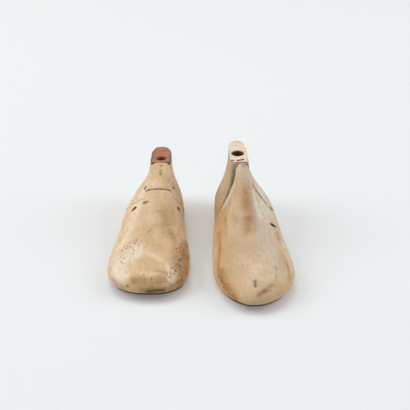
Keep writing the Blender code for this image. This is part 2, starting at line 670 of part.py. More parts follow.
def add_tongue(last, body, block):
    """A wooden tongue pinned into the block; its forked foot straddles the rear pin of the body."""
    centre = last.lateral * float(outline_values(last, np.array([BLOCK_PIN_Y])).centre[0])
    half = TONGUE_THICKNESS / 2
    front = BODY_REAR_PIN_Y - TONGUE_WIDTH / 2
    back = BODY_REAR_PIN_Y + TONGUE_WIDTH / 2
    fork_half = PIN_DIAMETER / 2 + FIT_GAP
    top = TONGUE_FOOT_Z + TONGUE_LENGTH
    fork_top = TONGUE_FOOT_Z + FORK_DEPTH
    outline = [
        (front, TONGUE_FOOT_Z),
        (BODY_REAR_PIN_Y - fork_half, TONGUE_FOOT_Z),
        (BODY_REAR_PIN_Y - fork_half, fork_top),
        (BODY_REAR_PIN_Y + fork_half, fork_top),
        (BODY_REAR_PIN_Y + fork_half, TONGUE_FOOT_Z),
        (back, TONGUE_FOOT_Z),
        (back, top),
        (front, top),
    ]
    mesh = prism_mesh("tongue", outline, centre - half, centre + half)
    tongue = add_part(last, "tongue", mesh, PEG_WOOD, (centre, BLOCK_PIN_Y, BLOCK_PIN_Z), smooth=False)
    slot = [
        (front - FIT_GAP, TONGUE_FOOT_Z - FIT_GAP),
        (back + FIT_GAP, TONGUE_FOOT_Z - FIT_GAP),
        (back + FIT_GAP, top + FIT_GAP),
        (front - FIT_GAP, top + FIT_GAP),
    ]
    slot_mesh = prism_mesh("tongue_slot", slot, centre - half - FIT_GAP, centre + half + FIT_GAP)
    slot_cutter = add_cutter(last, "tongue_slot", slot_mesh)
    cut(block, slot_cutter)
    cut(body, slot_cutter)
    add_cross_pin(last, "block_pin", BLOCK_PIN_Y, BLOCK_PIN_Z, [block, tongue])


def add_peg(last, body):
    """A wooden peg that fills an old hole in the outer side, a share of the ridge's height up."""
    height = PEG_RIDGE_SHARE * float(outline_values(last, np.array([PEG_Y])).ridge[0])
    lateral = side_reach(last, PEG_Y, height)[0]
    hole = cross_rod(last, PEG_Y, height, lateral - PEG_DEPTH - FIT_GAP, REACH, PIN_DIAMETER + 2 * FIT_GAP)
    cut(body, add_cutter(last, "peg_hole", rods_mesh("peg_hole", [hole], ROUND_STEPS)))
    peg = cross_rod(last, PEG_Y, height, lateral - PEG_DEPTH, lateral - PEG_RECESS, PIN_DIAMETER)
    add_part(last, "peg", rods_mesh("peg", [peg], ROUND_STEPS), PEG_WOOD)


# The hinged last


def joint_lines():
    """The front face of the heel part and the rear face of the forepart, seen from the side, sole first.

    The faces run side by side up to a third of the height; above it the gap opens like a V.
    """
    heel_face = [(y * REAR_PIN_Y, z * HINGED_HEIGHT) for y, z in JOINT_CUT_SHARES]
    closed = JOINT_CLOSED_BELOW_SHARE * HINGED_HEIGHT
    fore_face = []
    for y, z in heel_face:
        opening = max(z - closed, 0.0) / (HINGED_HEIGHT - closed)
        fore_face.append((y - FIT_GAP - (JOINT_TOP_GAP - FIT_GAP) * opening, z))
    return heel_face, fore_face


def build_hinged_last():
    last = hinged_last_sizes()
    rear_pin = (0.0, REAR_PIN_Y, REAR_PIN_Z)
    forepart = add_part(last, "forepart", form_mesh(last, "hinged_last_forepart"), GREY_WOOD)
    heel_part = add_part(last, "heel_part", form_mesh(last, "hinged_last_heel_part"), GREY_WOOD, rear_pin)
    plate = add_part(last, "top_plate", form_mesh(last, "hinged_last_top_plate"), CREAM_FIBRE)

    heel_face, fore_face = joint_lines()
    before_heel = heel_face + [(-REACH, heel_face[-1][1]), (-REACH, heel_face[0][1])]
    far_back = last.length + REACH
    behind_fore = [(far_back, fore_face[0][1]), (far_back, fore_face[-1][1])] + fore_face[::-1]
    front_room = add_cutter(last, "front_room", prism_mesh("front_room", before_heel, -REACH, REACH))
    back_room = add_cutter(last, "back_room", prism_mesh("back_room", behind_fore, -REACH, REACH))
    cut(forepart, back_room)
    cut(heel_part, front_room)

    thickness = HINGED_TOP_PLATE_THICKNESS
    start = -SHORT_REACH
    above_wood = slab_mesh("above_wood", last, -thickness - FIT_GAP, REACH, start, REACH)
    cut(heel_part, add_cutter(last, "above_wood", above_wood))
    plate_room = slab_mesh("plate_room", last, -thickness, 0.0, start, REACH)
    cut(plate, front_room)
    add_jack_bore(last, heel_part, plate)
    add_top_nail(last, heel_part, plate)
    cut(plate, add_cutter(last, "plate_room", plate_room), "INTERSECT")

    link = add_link(last, forepart, heel_part)
    add_cross_pin(last, "front_pin", FRONT_PIN_Y, FRONT_PIN_Z, [forepart, link], WOOD_BEYOND_PIN)
    add_cross_pin(last, "rear_pin", REAR_PIN_Y, REAR_PIN_Z, [heel_part, link], WOOD_BEYOND_PIN)
    add_sole_plates(last, forepart, heel_part)


def add_top_nail(last, heel_part, plate):
    """The one nail that shows in the pale top plate."""
    up = top_frame(last).to_3x3() @ Vector((0.0, 0.0, 1.0))
    top = on_top(last, HINGED_NAIL_X, HINGED_NAIL_Y, BRAD_RECESS)
    bore = [(top, up, NAIL_DIAMETER + 2 * FIT_GAP, 2 * (NAIL_LENGTH + FIT_GAP))]
    cutter = add_cutter(last, "nail_bore", rods_mesh("nail_bore", bore, SMALL_ROUND_STEPS))
    cut(heel_part, cutter)
    cut(plate, cutter)
    nail = [(top - up * NAIL_LENGTH / 2, up, NAIL_DIAMETER, NAIL_LENGTH)]
    add_part(last, "top_nail", rods_mesh("top_nail", nail, SMALL_ROUND_STEPS), DARK_STEEL)


def add_link(last, forepart, heel_part):
    """The flat steel link between the two pins, in a saw slot that runs on into both parts."""
    half = LINK_THICKNESS / 2
    outline = []
    for i in range(ROUND_STEPS):
        angle = math.pi / 2 + 2 * math.pi * (i + 0.5) / ROUND_STEPS
        at_front = i < ROUND_STEPS / 2
        centre_y = FRONT_PIN_Y if at_front else REAR_PIN_Y
        centre_z = FRONT_PIN_Z if at_front else REAR_PIN_Z
        y = centre_y + LINK_HALF_HEIGHT * math.cos(angle)
        z = centre_z + LINK_HALF_HEIGHT * math.sin(angle)
        outline.append((y, z))
    centre = last.lateral * float(outline_values(last, np.array([REAR_PIN_Y])).centre[0])
    mesh = prism_mesh("hinge_link", outline, centre - half, centre + half)
    link = add_part(last, "hinge_link", mesh, DARK_STEEL, smooth=False)
    front = FRONT_PIN_Y - LINK_HALF_HEIGHT - FIT_GAP
    back = REAR_PIN_Y + LINK_HALF_HEIGHT + LINK_SWING_ROOM
    low = FRONT_PIN_Z - LINK_HALF_HEIGHT - LINK_SWING_ROOM
    high = REAR_PIN_Z + LINK_HALF_HEIGHT + LINK_SWING_ROOM
    slot = [(front, low), (back, low), (back, high), (front, high)]
    slot_mesh = prism_mesh("link_slot", slot, centre - half - FIT_GAP, centre + half + FIT_GAP)
    cutter = add_cutter(last, "link_slot", slot_mesh)
    cut(forepart, cutter)
    cut(heel_part, cutter)
    return link


for old in list(bpy.data.objects):
    bpy.data.objects.remove(old)

PARTS = bpy.data.collections.new("Pair of shoe lasts")
CUTTERS = bpy.data.collections.new("Cutters")
bpy.context.scene.collection.children.link(PARTS)
bpy.context.scene.collection.children.link(CUTTERS)

build_block_last()
build_hinged_last()
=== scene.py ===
# %% [markdown]
# # A pair of shoe lasts
# A last is the wooden foot that a shoemaker builds a shoe on. The left one in the picture has an instep block
# that lifts off, the right one is sawn in two and hinged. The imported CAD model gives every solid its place.

from types import SimpleNamespace

import bmesh
import bpy
import numpy as np
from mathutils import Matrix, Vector


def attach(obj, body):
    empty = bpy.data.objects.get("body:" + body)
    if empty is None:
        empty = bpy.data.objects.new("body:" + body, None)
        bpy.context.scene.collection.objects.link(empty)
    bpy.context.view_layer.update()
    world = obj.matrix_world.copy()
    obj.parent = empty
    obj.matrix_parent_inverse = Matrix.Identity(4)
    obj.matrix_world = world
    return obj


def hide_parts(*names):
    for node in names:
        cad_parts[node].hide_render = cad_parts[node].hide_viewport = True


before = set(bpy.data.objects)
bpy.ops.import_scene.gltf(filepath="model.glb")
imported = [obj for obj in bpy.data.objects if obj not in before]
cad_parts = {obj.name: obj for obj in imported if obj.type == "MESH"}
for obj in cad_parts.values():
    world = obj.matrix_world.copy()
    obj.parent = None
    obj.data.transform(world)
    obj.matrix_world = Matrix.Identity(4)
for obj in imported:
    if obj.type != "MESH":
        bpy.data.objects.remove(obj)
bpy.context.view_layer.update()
MM = 0.001

# %% [markdown]
# ## Camera
# The photo looks down at the toes from over seventy centimetres away, and the lasts are small in a pale frame.
# The camera's tilt and focal length were found by matching both outlines.

# %% Place the camera
FRAME_PIXELS, FOCAL_PIXELS, SENSOR_WIDTH = 410, 860.0, 36.0
CAMERA_PLACE, CAMERA_DOWN = (0.00416, -0.76955, 0.4435), np.radians(27.0)

camera_data = bpy.data.cameras.new("photo_camera")
camera_data.sensor_width = SENSOR_WIDTH
camera_data.lens = FOCAL_PIXELS / FRAME_PIXELS * SENSOR_WIDTH
camera = bpy.data.objects.new("photo_camera", camera_data)
camera.location = CAMERA_PLACE
camera.rotation_euler = (np.pi / 2 - CAMERA_DOWN, 0.0, 0.0)
bpy.context.scene.collection.objects.link(camera)
bpy.context.scene.camera = camera
bpy.context.scene.view_settings.view_transform = "Standard"
print("lens in mm:", round(camera_data.lens, 2))

# %% [markdown]
# ## Recipes for nodes
# The world and every finish are node recipes. These helpers add to the node tree that was opened last.


# %% Node helpers
def open_tree(owner):
    """Makes the node tree of a world or finish the one that the helpers add to."""
    global tree
    owner.use_nodes = True
    tree = owner.node_tree


def feed(node, inputs):
    """Links each input that is given as a socket, and sets the others."""
    for name, value in dict(inputs).items():
        if isinstance(value, bpy.types.NodeSocket):
            tree.links.new(value, node.inputs[name])
        else:
            node.inputs[name].default_value = value
    return node


def add(kind, inputs=(), **settings):
    """Adds a node with its settings and inputs."""
    node = tree.nodes.new("ShaderNode" + kind)
    for name, value in settings.items():
        setattr(node, name, value)
    return feed(node, inputs)


def mix(share, a, b):
    """Colour a towards colour b by a share."""
    a, b = (c if isinstance(c, bpy.types.NodeSocket) else (*c, 1.0) for c in (a, b))
    return add("Mix", {0: share, 6: a, 7: b}, data_type="RGBA").outputs[2]


def calc(operation, *values, clamp=False):
    """One step of arithmetic."""
    return add("Math", enumerate(values), operation=operation, use_clamp=clamp).outputs[0]


def ramp(value, low, high, out_low=0.0, out_high=1.0):
    """Carries the span low..high smoothly to out_low..out_high."""
    inputs = {"Value": value, "From Min": low, "From Max": high, "To Min": out_low, "To Max": out_high}
    return add("MapRange", inputs, interpolation_type="SMOOTHSTEP").outputs["Result"]


def scaled(place, *scale):
    """Places stretched by a factor along each axis."""
    return add("Mapping", {"Vector": place, "Scale": scale}).outputs[0]


def noise(place, scale, detail=3.0, roughness=0.55, stretch=(1.0, 1.0, 1.0), distortion=0.0):
    """Noise at a number of features per metre, drawn out along an axis by its stretch."""
    inputs = {"Scale": 1.0, "Detail": detail, "Roughness": roughness, "Distortion": distortion}
    return add("TexNoise", {"Vector": scaled(place, *(scale * s for s in stretch)), **inputs}).outputs["Fac"]


def attribute(name):
    """The number that a piece keeps for each of its points under that name."""
    return add("Attribute", attribute_name=name).outputs["Fac"]


def bump(height, distance, *under):
    """The normal with a height as bump of that depth in metres, over an earlier bump if one is given."""
    inputs = {"Height": height, "Distance": distance, "Strength": 1.0}
    return add("Bump", {**inputs, **{"Normal": normal for normal in under}}).outputs[0]


def new_finish(name):
    """A material, the shader in its emptied tree, and the Object coordinates, which are the pair's own metres."""
    finish = bpy.data.materials.new(name)
    open_tree(finish)
    tree.nodes.clear()
    shader = add("BsdfPrincipled")
    add("OutputMaterial", {"Surface": shader.outputs[0]})
    return finish, shader, add("TexCoord").outputs["Object"]


print("node helpers ready")

# %% [markdown]
# ## Light
# The floor is darkest between the lasts, so light comes from both sides and from above, as in a light tent. The
# camera and shiny surfaces see the weak world as pale as the floor, so that no grey band shows beyond it.

# %% Hang the lamps and colour the world
LAMP_AIM = Vector((0.0, 0.0, 0.02))
LAMPS = (
    ("left_window", (-3.0, 0.2, 2.2), 2.6, 70.0, (0.97, 0.985, 1.0)),
    ("right_window", (3.0, 0.2, 2.0), 2.6, 54.0, (0.96, 0.98, 1.0)),
    ("overhead", (-0.5, 1.2, 3.8), 2.2, 50.0, (1.0, 0.975, 0.94)),
)
for name, place, size, energy, colour in LAMPS:
    lamp_data = bpy.data.lights.new(name, "AREA")
    lamp_data.size, lamp_data.energy, lamp_data.color = size, energy, colour
    lamp = bpy.data.objects.new(name, lamp_data)
    lamp.location = place
    lamp.rotation_euler = (LAMP_AIM - lamp.location).to_track_quat("-Z", "Y").to_euler()
    bpy.context.scene.collection.objects.link(lamp)

WORLD_COLOUR, WORLD_LIGHT, WORLD_SEEN = (0.95, 0.975, 1.0, 1.0), 0.33, 0.86
world = bpy.data.worlds.new("studio")
open_tree(world)
rays = add("LightPath").outputs
strength = ramp(calc("MAXIMUM", rays["Is Camera Ray"], rays["Is Glossy Ray"]), 0.0, 1.0, WORLD_LIGHT, WORLD_SEEN)
feed(tree.nodes["Background"], {"Color": WORLD_COLOUR, "Strength": strength})
bpy.context.scene.world = world
print("lamps:", [name for name, *_ in LAMPS])

# %% [markdown]
# ## The form of a last
# A last is a row of slices from toe to heel, each with a flat sole, two S-shaped flanks and a rounded crown. Its
# stations give heights as shares of the last's height, and widths as shares of the width at the ball of the foot.

# %% Sizes and stations
FIT_GAP = 0.3 * MM
SOLE_PLATE_THICKNESS = 1.2 * MM


def table(text, scale=1.0):
    """Reads rows of numbers that are parted by commas or line ends."""
    rows = text.strip().replace("\n", ",").split(",")
    return np.array([[float(word) for word in row.split()] for row in rows]) * scale


STATION_COLUMNS = (
    "at sole ridge foot_lateral foot_medial wide_lateral wide_medial wide_height neck crown square hollow lean"
).split()
BLOCK_STATIONS = """
0 0.1 0.26 0.47 0.41 0.52 0.44 0.16 0.99 0.86 0.55 0.5 0
0.08 0.05 0.3 0.5 0.43 0.545 0.46 0.15 0.99 0.86 0.55 0.5 0
0.17 0.01 0.36 0.51 0.42 0.565 0.46 0.16 0.97 0.87 0.55 0.5 0
0.28 -0.01 0.44 0.5 0.4 0.565 0.45 0.18 0.89 0.88 0.55 0.45 0
0.4 0.03 0.58 0.43 0.35 0.515 0.415 0.21 0.74 0.82 0.6 0.38 -0.015
0.5 0.08 0.73 0.37 0.29 0.485 0.385 0.23 0.56 0.6 0.72 0.3 -0.035
0.6 0.09 0.86 0.33 0.27 0.47 0.365 0.24 0.44 0.36 0.78 0.25 -0.05
0.7 0.03 0.995 0.33 0.28 0.445 0.36 0.24 0.38 0.2 0.75 0.38 -0.05
0.8 -0.02 1.1 0.33 0.29 0.385 0.335 0.26 0.39 0.15 0.65 0.64 -0.05
0.9 -0.02 1.15 0.31 0.28 0.33 0.29 0.28 0.43 0.15 0.6 0.7 -0.045
1 -0.02 1.15 0.3 0.28 0.32 0.29 0.29 0.28 0.15 0.6 0.7 -0.045
"""
HINGED_STATIONS = """
0 0.09 0.23 0.45 0.38 0.52 0.43 0.15 0.99 0.86 0.55 0.5 0
0.08 0.04 0.27 0.48 0.41 0.54 0.455 0.14 0.99 0.86 0.55 0.5 0
0.17 0.01 0.33 0.49 0.42 0.565 0.465 0.15 0.97 0.87 0.55 0.5 0
0.28 -0.01 0.42 0.49 0.4 0.57 0.45 0.17 0.91 0.88 0.55 0.45 0
0.4 0.02 0.56 0.44 0.37 0.545 0.44 0.19 0.75 0.82 0.55 0.38 -0.01
0.5 0.07 0.71 0.38 0.31 0.515 0.42 0.2 0.53 0.62 0.55 0.3 -0.015
0.6 0.09 0.87 0.34 0.28 0.495 0.385 0.22 0.35 0.42 0.55 0.3 -0.015
0.685 0.04 1.03 0.34 0.29 0.475 0.37 0.23 0.24 0.2 0.55 0.4 -0.01
0.72 0.02 1.06 0.34 0.3 0.47 0.37 0.24 0.3 0.18 0.55 0.5 -0.04
0.8 -0.02 1.13 0.34 0.3 0.435 0.36 0.26 0.315 0.15 0.55 0.62 -0.046
0.9 -0.02 1.18 0.32 0.3 0.365 0.335 0.28 0.32 0.15 0.55 0.66 -0.044
1 -0.02 1.14 0.31 0.3 0.33 0.325 0.29 0.1 0.15 0.55 0.7 -0.04
"""
BLOCK = SimpleNamespace(
    name="block_last", lateral=-1.0, turn=0.0, toe=(-45.84 * MM, -98.75 * MM),
    length=217.0 * MM, ball=78.0 * MM, height=73.0 * MM, stations=table(BLOCK_STATIONS),
    reach=(0.20, 0.22), round=(2.3, 2.15), tilt=np.radians(5.0), top_front=155.0 * MM, plate=3.0 * MM,
    jack=(-3.4 * MM, 168.2 * MM), bore=10.8 * MM,
)
HINGED = SimpleNamespace(
    name="hinged_last", lateral=1.0, turn=np.radians(2.0), toe=(48.16 * MM, -118.25 * MM),
    length=225.0 * MM, ball=77.0 * MM, height=80.0 * MM, stations=table(HINGED_STATIONS),
    reach=(0.235, 0.30), round=(1.85, 1.7), tilt=np.radians(-3.0), top_front=160.5 * MM, plate=1.4 * MM,
    jack=(-3.2 * MM, 180.8 * MM), bore=13.5 * MM,
)
print("stations:", len(BLOCK.stations), "and", len(HINGED.stations))

# %% [markdown]
# Between the stations the values run along a cubic curve. At both ends the slices shrink along a superellipse,
# which gives one last its broad toe and the other its pointed one.

# %% Curves that shape the slices
TOE_OVERHANG, HEEL_OVERHANG, NOSE_REACH, BACK_REACH, HEEL_REACH = 0.0092, 0.0184, 0.06, 0.12, 0.155
NOSE_HEIGHT, BACK_HEIGHT, LEAST_FOOT = 0.15, 0.36, 0.25


def smooth_between(stations, values, at):
    """Cubic through the stations; the slope at each one is that between its two neighbours."""
    slopes = np.gradient(values, stations)
    i = np.clip(np.searchsorted(stations, at, side="right") - 1, 0, len(stations) - 2)
    step = stations[i + 1] - stations[i]
    t = (at - stations[i]) / step
    keep = (2 * t**3 - 3 * t**2 + 1) * values[i] + (3 * t**2 - 2 * t**3) * values[i + 1]
    bend = (t**3 - 2 * t**2 + t) * slopes[i] + (t**3 - t**2) * slopes[i + 1]
    return keep + bend * step


def rounding(distance, reach, roundness):
    """Rises from 0 to 1 over the reach along a superellipse: (1 - (1 - d)^n)^(1/n)."""
    share = np.clip(distance / reach, 0.0, 1.0)
    return (1.0 - (1.0 - share) ** roundness) ** (1.0 / roundness)


def bezier(start, handle_1, handle_2, end, t):
    """Cubic Bezier; every argument may be a whole array of curves."""
    u = 1.0 - t
    return u**3 * start + 3 * u**2 * t * handle_1 + 3 * u * t**2 * handle_2 + t**3 * end


def outline_values(last, at):
    """Heights and half widths of the slices at distances from the toe: the stations' shares times the rounding."""
    columns = zip(STATION_COLUMNS, last.stations.T)
    share = {name: smooth_between(last.stations[:, 0], column, at / last.length) for name, column in columns}
    to_heel = last.length - at
    toe_overhang, heel_overhang = TOE_OVERHANG * last.length, HEEL_OVERHANG * last.length
    middle = np.where(at < last.length / 2, NOSE_HEIGHT, BACK_HEIGHT) * last.height
    upper = rounding(at, NOSE_REACH * last.length, 2.0) * rounding(to_heel, BACK_REACH * last.length, 1.8)
    lower = rounding(at, 2 * toe_overhang, 2.0) * rounding(to_heel, 2 * heel_overhang, 2.0)
    v = SimpleNamespace(sides=[], hollow=share["hollow"], square=share["square"])
    v.centre = last.ball * share["lean"] * upper
    floor = SOLE_PLATE_THICKNESS + FIT_GAP
    v.sole = middle + (floor + last.height * np.maximum(share["sole"], 0.0) - middle) * lower
    v.ridge = middle + (last.height * share["ridge"] - middle) * upper
    v.wide_height = middle + (last.height * share["wide_height"] - middle) * np.minimum(upper, lower)
    v.crown = (v.ridge - v.wide_height) * share["crown"]
    heel, foot_heel = (rounding(d, HEEL_REACH * last.length, 2.0) for d in (to_heel, to_heel - heel_overhang))
    for sign, side, reach, roundness in zip((1, -1), ("lateral", "medial"), last.reach, last.round):
        wide = last.ball * share["wide_" + side] * rounding(at, reach * last.length, roundness) * heel
        foot = last.ball * share["foot_" + side] * foot_heel
        foot = np.maximum(foot * rounding(at - toe_overhang, reach * last.length, roundness), LEAST_FOOT * wide)
        v.sides.append(SimpleNamespace(wide=wide, foot=foot, neck=wide * share["neck"], centre=sign * v.centre))
    return v


def values_at(last, y):
    """The same for one distance from the toe."""
    return outline_values(last, np.array([y]))


for last in (BLOCK, HINGED):
    ball_width = sum(side.wide[0] for side in values_at(last, 0.2 * last.length).sides)
    print(last.name, "is", round(ball_width / MM, 1), "mm wide across the ball")

# %% [markdown]
# A slice is drawn with three Bezier curves on each side. All slices are worked out at once as one grid: distance
# from the toe in one direction, the way round the slice in the other.

# %% The grid of points
FOOT_STEPS, FLANK_STEPS, CROWN_STEPS, SOLE_STEPS = 8, 44, 34, 6
ROWS = 400


def half_slice(v, side):
    """One side from the edge of the sole to the ridge: half widths, with the heights as the imaginary part."""
    foot, wide, top = side.foot + 1j * v.sole, side.wide + 1j * v.wide_height, side.centre + 1j * v.ridge
    neck = side.centre + side.neck + 1j * (v.ridge - v.crown)
    rise, tuck = 1j * (neck - wide).imag, 1j * (wide - foot).imag
    corner = side.centre + side.neck * v.square + 1j * v.ridge
    below = side.wide + 1j * v.sole
    curves = (
        (FOOT_STEPS, foot, foot + (side.wide - side.foot) * 0.75 + tuck * 0.15, below + tuck * 0.55, wide),
        (FLANK_STEPS, wide, wide + rise * 0.2, neck - rise * v.hollow, neck),
        (CROWN_STEPS, neck, neck + 1j * v.crown * v.square, corner, top),
    )
    return np.concatenate([bezier(*places, (np.arange(steps) / steps)[:, None]) for steps, *places in curves])


def form_grid(last, rows):
    """The uncut last in its own frame: x to the outer side, y from the toe, z up; rows lie closer at the ends."""
    at = last.length * (1.0 - np.cos(np.pi * np.arange(1, rows) / rows)) / 2.0
    v = outline_values(last, at)
    lateral, medial = (half_slice(v, side) for side in v.sides)
    across = (np.arange(1, SOLE_STEPS) / SOLE_STEPS)[:, None]
    sole = -v.sides[1].foot + (v.sides[0].foot + v.sides[1].foot) * across + 1j * v.sole
    loop = np.concatenate([sole, lateral, [v.centre + 1j * v.ridge], -medial[::-1].conj()]).T
    return np.stack([loop.real, np.broadcast_to(at[:, None], loop.shape), loop.imag], axis=-1)


for last in (BLOCK, HINGED):
    last.grid = form_grid(last, ROWS)
    print("points in the grid:", last.grid.shape[0] * last.grid.shape[1])

# %% [markdown]
# ## Marks
# Stains, rubbed places, cracks and dents are streaks through places on the last. A table row gives the radius in
# mm and the strength, then the places in mm. A dent's strength is its depth in mm.


# %% Marks and lumps
def lumps(points, wavelength, seed, waves=26):
    """Smooth random lumps between about -2 and 2: a sum of cosine waves in random directions."""
    rng = np.random.default_rng(seed)
    total = np.zeros(points.shape[:-1])
    for _ in range(waves):
        direction = rng.normal(size=3)
        direction *= 2 * np.pi / (np.linalg.norm(direction) * wavelength * rng.uniform(0.7, 1.6))
        total += np.cos(points @ direction + rng.uniform(0, 2 * np.pi))
    return total / np.sqrt(waves / 2)


def line_distance(points, start, end):
    """Distance to the straight line between two places."""
    along = end - start
    t = np.clip((points - start) @ along / max(along @ along, 1e-12), 0.0, 1.0)
    return np.linalg.norm(points - start - t[..., None] * along, axis=-1)


def side_distance(points, line):
    """Distance to a line drawn in side view through (y, z) places."""
    return np.min([line_distance(points[..., 1:], start, end) for start, end in zip(line, line[1:])], axis=0)


def marks_on(points, marks):
    """The strongest of several streaks at each point: strength * exp(-(distance / radius)^2)."""
    total = np.zeros(points.shape[:-1])
    for radius, strength, places in marks:
        for start, end in zip(places, places[1:] if len(places) > 1 else places):
            total = np.maximum(total, strength * np.exp(-((line_distance(points, start, end) / radius) ** 2)))
    return total


def read_marks(text):
    """Reads a table with a kind on one line, and on the next ones a radius and strength: places."""
    marks = {}
    for line in text.strip().splitlines():
        head, _, places = line.partition(":")
        if places:
            radius, strength = table(head)[0]
            marks[kind].append((radius * MM, strength, table(places, MM)))
        else:
            kind = head
            marks[kind] = []
    return marks


# On the block last the broad pale streak on the lateral flank is pale wood and partly painted light on that side.
BLOCK.marks = read_marks("""
pale
17 1: 20 140 46, 24 112 34, 29 88 26, 34 68 22
10 0.85: 36 46 18, 37 30 15, 30 18 15
7 0.4: 10 132 60, 8 124 57
7 0.6: -13 128 53, -15 108 46
7 0.45: 2 130 61, 6 100 47, 6 88 42
9 0.8: -19 134 40, -23 112 34, -25 90 28
white
4.5 0.58: 18 54 28.7, 11 50 28.9, 4 43 27.5, -4 38.5 26.6, -12 32 24, -15 26 22.5
1.8 0.8: -15 27 22.6, -16.5 11 18.3
11 0.85: 16 47 27, 23 40 25, 29 33 22, 33 26 20
5.5 0.5: 21 33 24, 14 25 23, 9 18 21.7, 3 15 21.4, -3 17 21.8
8 0.8: 33 29 20, 30 23 19, 27 16 19
5 0.4: -8 28 23, -13 25 22
5 0.6: -20 22 21, -20 12 18
warm
6 0.8: -30 84 14, -33 62 15
8 1.5: -32 62 17, -30 44 20, -30 30 17.5
8.5 1.1: -30 30 17, -26 14 13
4 0.5: 41 36 15, 38 22 13, 26 8 11
6 0.8: 16 9 18, 4 7 18, -10 9 19
2.6 1.2: -1 1.9 15.3
1.6 0.7: -3 20 22.4, -10 19 21.7, -14 17 20.6
7 0.2: 2 58 31, -8 52 30
brown
5 0.55: -9 100 46, -12 86 40, -10 72 36
7 0.35: -16 104 46, -18 88 38
4.5 0.6: 8 3 15, -2 5 17, -14 9 18
3.4 1.3: 8 0.8 12.6, 1 0.5 12.6, -7 1.2 12.8, -12 2.8 11.8, -20 7.4 11.6
6 0.6: -14 76 34, -22 62 27, -23 44 24, -21 26 21
2.2 1: -4 150 71
1.8 1: -4 144 69, -4 139 67
5.5 0.35: -9 138 63, -10 126 58
4.5 0.2: 2 116 56, 0 104 51, -3 96 47
grey
10 0.4: -22 130 34, -20 112 34
5 0.6: -20 40 24, -19 24 21, -20 12 18
patch
9 1: 5.5 30 25
cracks
4.5 0.6: -8 94 45, -9 88 42, -5 80 39, 0 74 37, 3 70 35
2.5 0.55: 6 74 36, 7 66 34
4 0.7: -12 84 39, -17 72 32
4 0.5: -3 116 56, -6 106 51
grime
1.2 0.9: 22 6 14.5
2.3 0.75: 3 0.2 12, -3 0.4 12.2, -7 0.9 12.2, -12 2.4 11.6
1 0.6: -2 0.8 13.6
1 0.5: -8 1.4 13.4
specks
5 0.7: 30 58 26, 24 57 27, 17 60 30
4 0.55: 25 51 26.6, 19 44 26.4
4 0.6: 31 43 23, 28 36 23, 26 29 22
2.7 1.3: -25 84 28, -26 67 25, -24 54 25, -27 44 22, -27 28 20
5.5 0.6: -25 76 27, -25 56 25, -26 40 22, -25 24 20
1.6 1.1: -20 57 27.5, -22 48 25, -21 34 23, -19 23 21, -17 15 19.5
4.5 0.5: -21 50 26, -20 30 22, -18 15 19
3 0.7: 4 12 20.5, -5 9 20, -13 9 18
1.6 1.2: -4 151 71, -4 148 70
1.6 1.1: -4 144 69, -3 140 67
2.4 0.6: -3 95 46, -8 94 45
dent
1.1 0.5: -6 79 38, -5 75 37, -1 72 36, 0 69 35, -2 65 33
1.1 0.6: -12 87 40, -8 81 39, -6 75 37, -3 70 35
1 0.35: 7 75 37, 5 70 35, 4 66 34, 8 61 32
1.1 0.35: -15 74 34, -19 71 31, -21 67 29
1.2 0.35: -3 95 46, -5 93 45, -9 95 45
1.5 0.6: -4 149 71
1.3 0.5: -4 141 68
1.4 0.4: 17 14 20
1.6 0.3: 11 24 23, 1 16 21, -8 11 20
""")
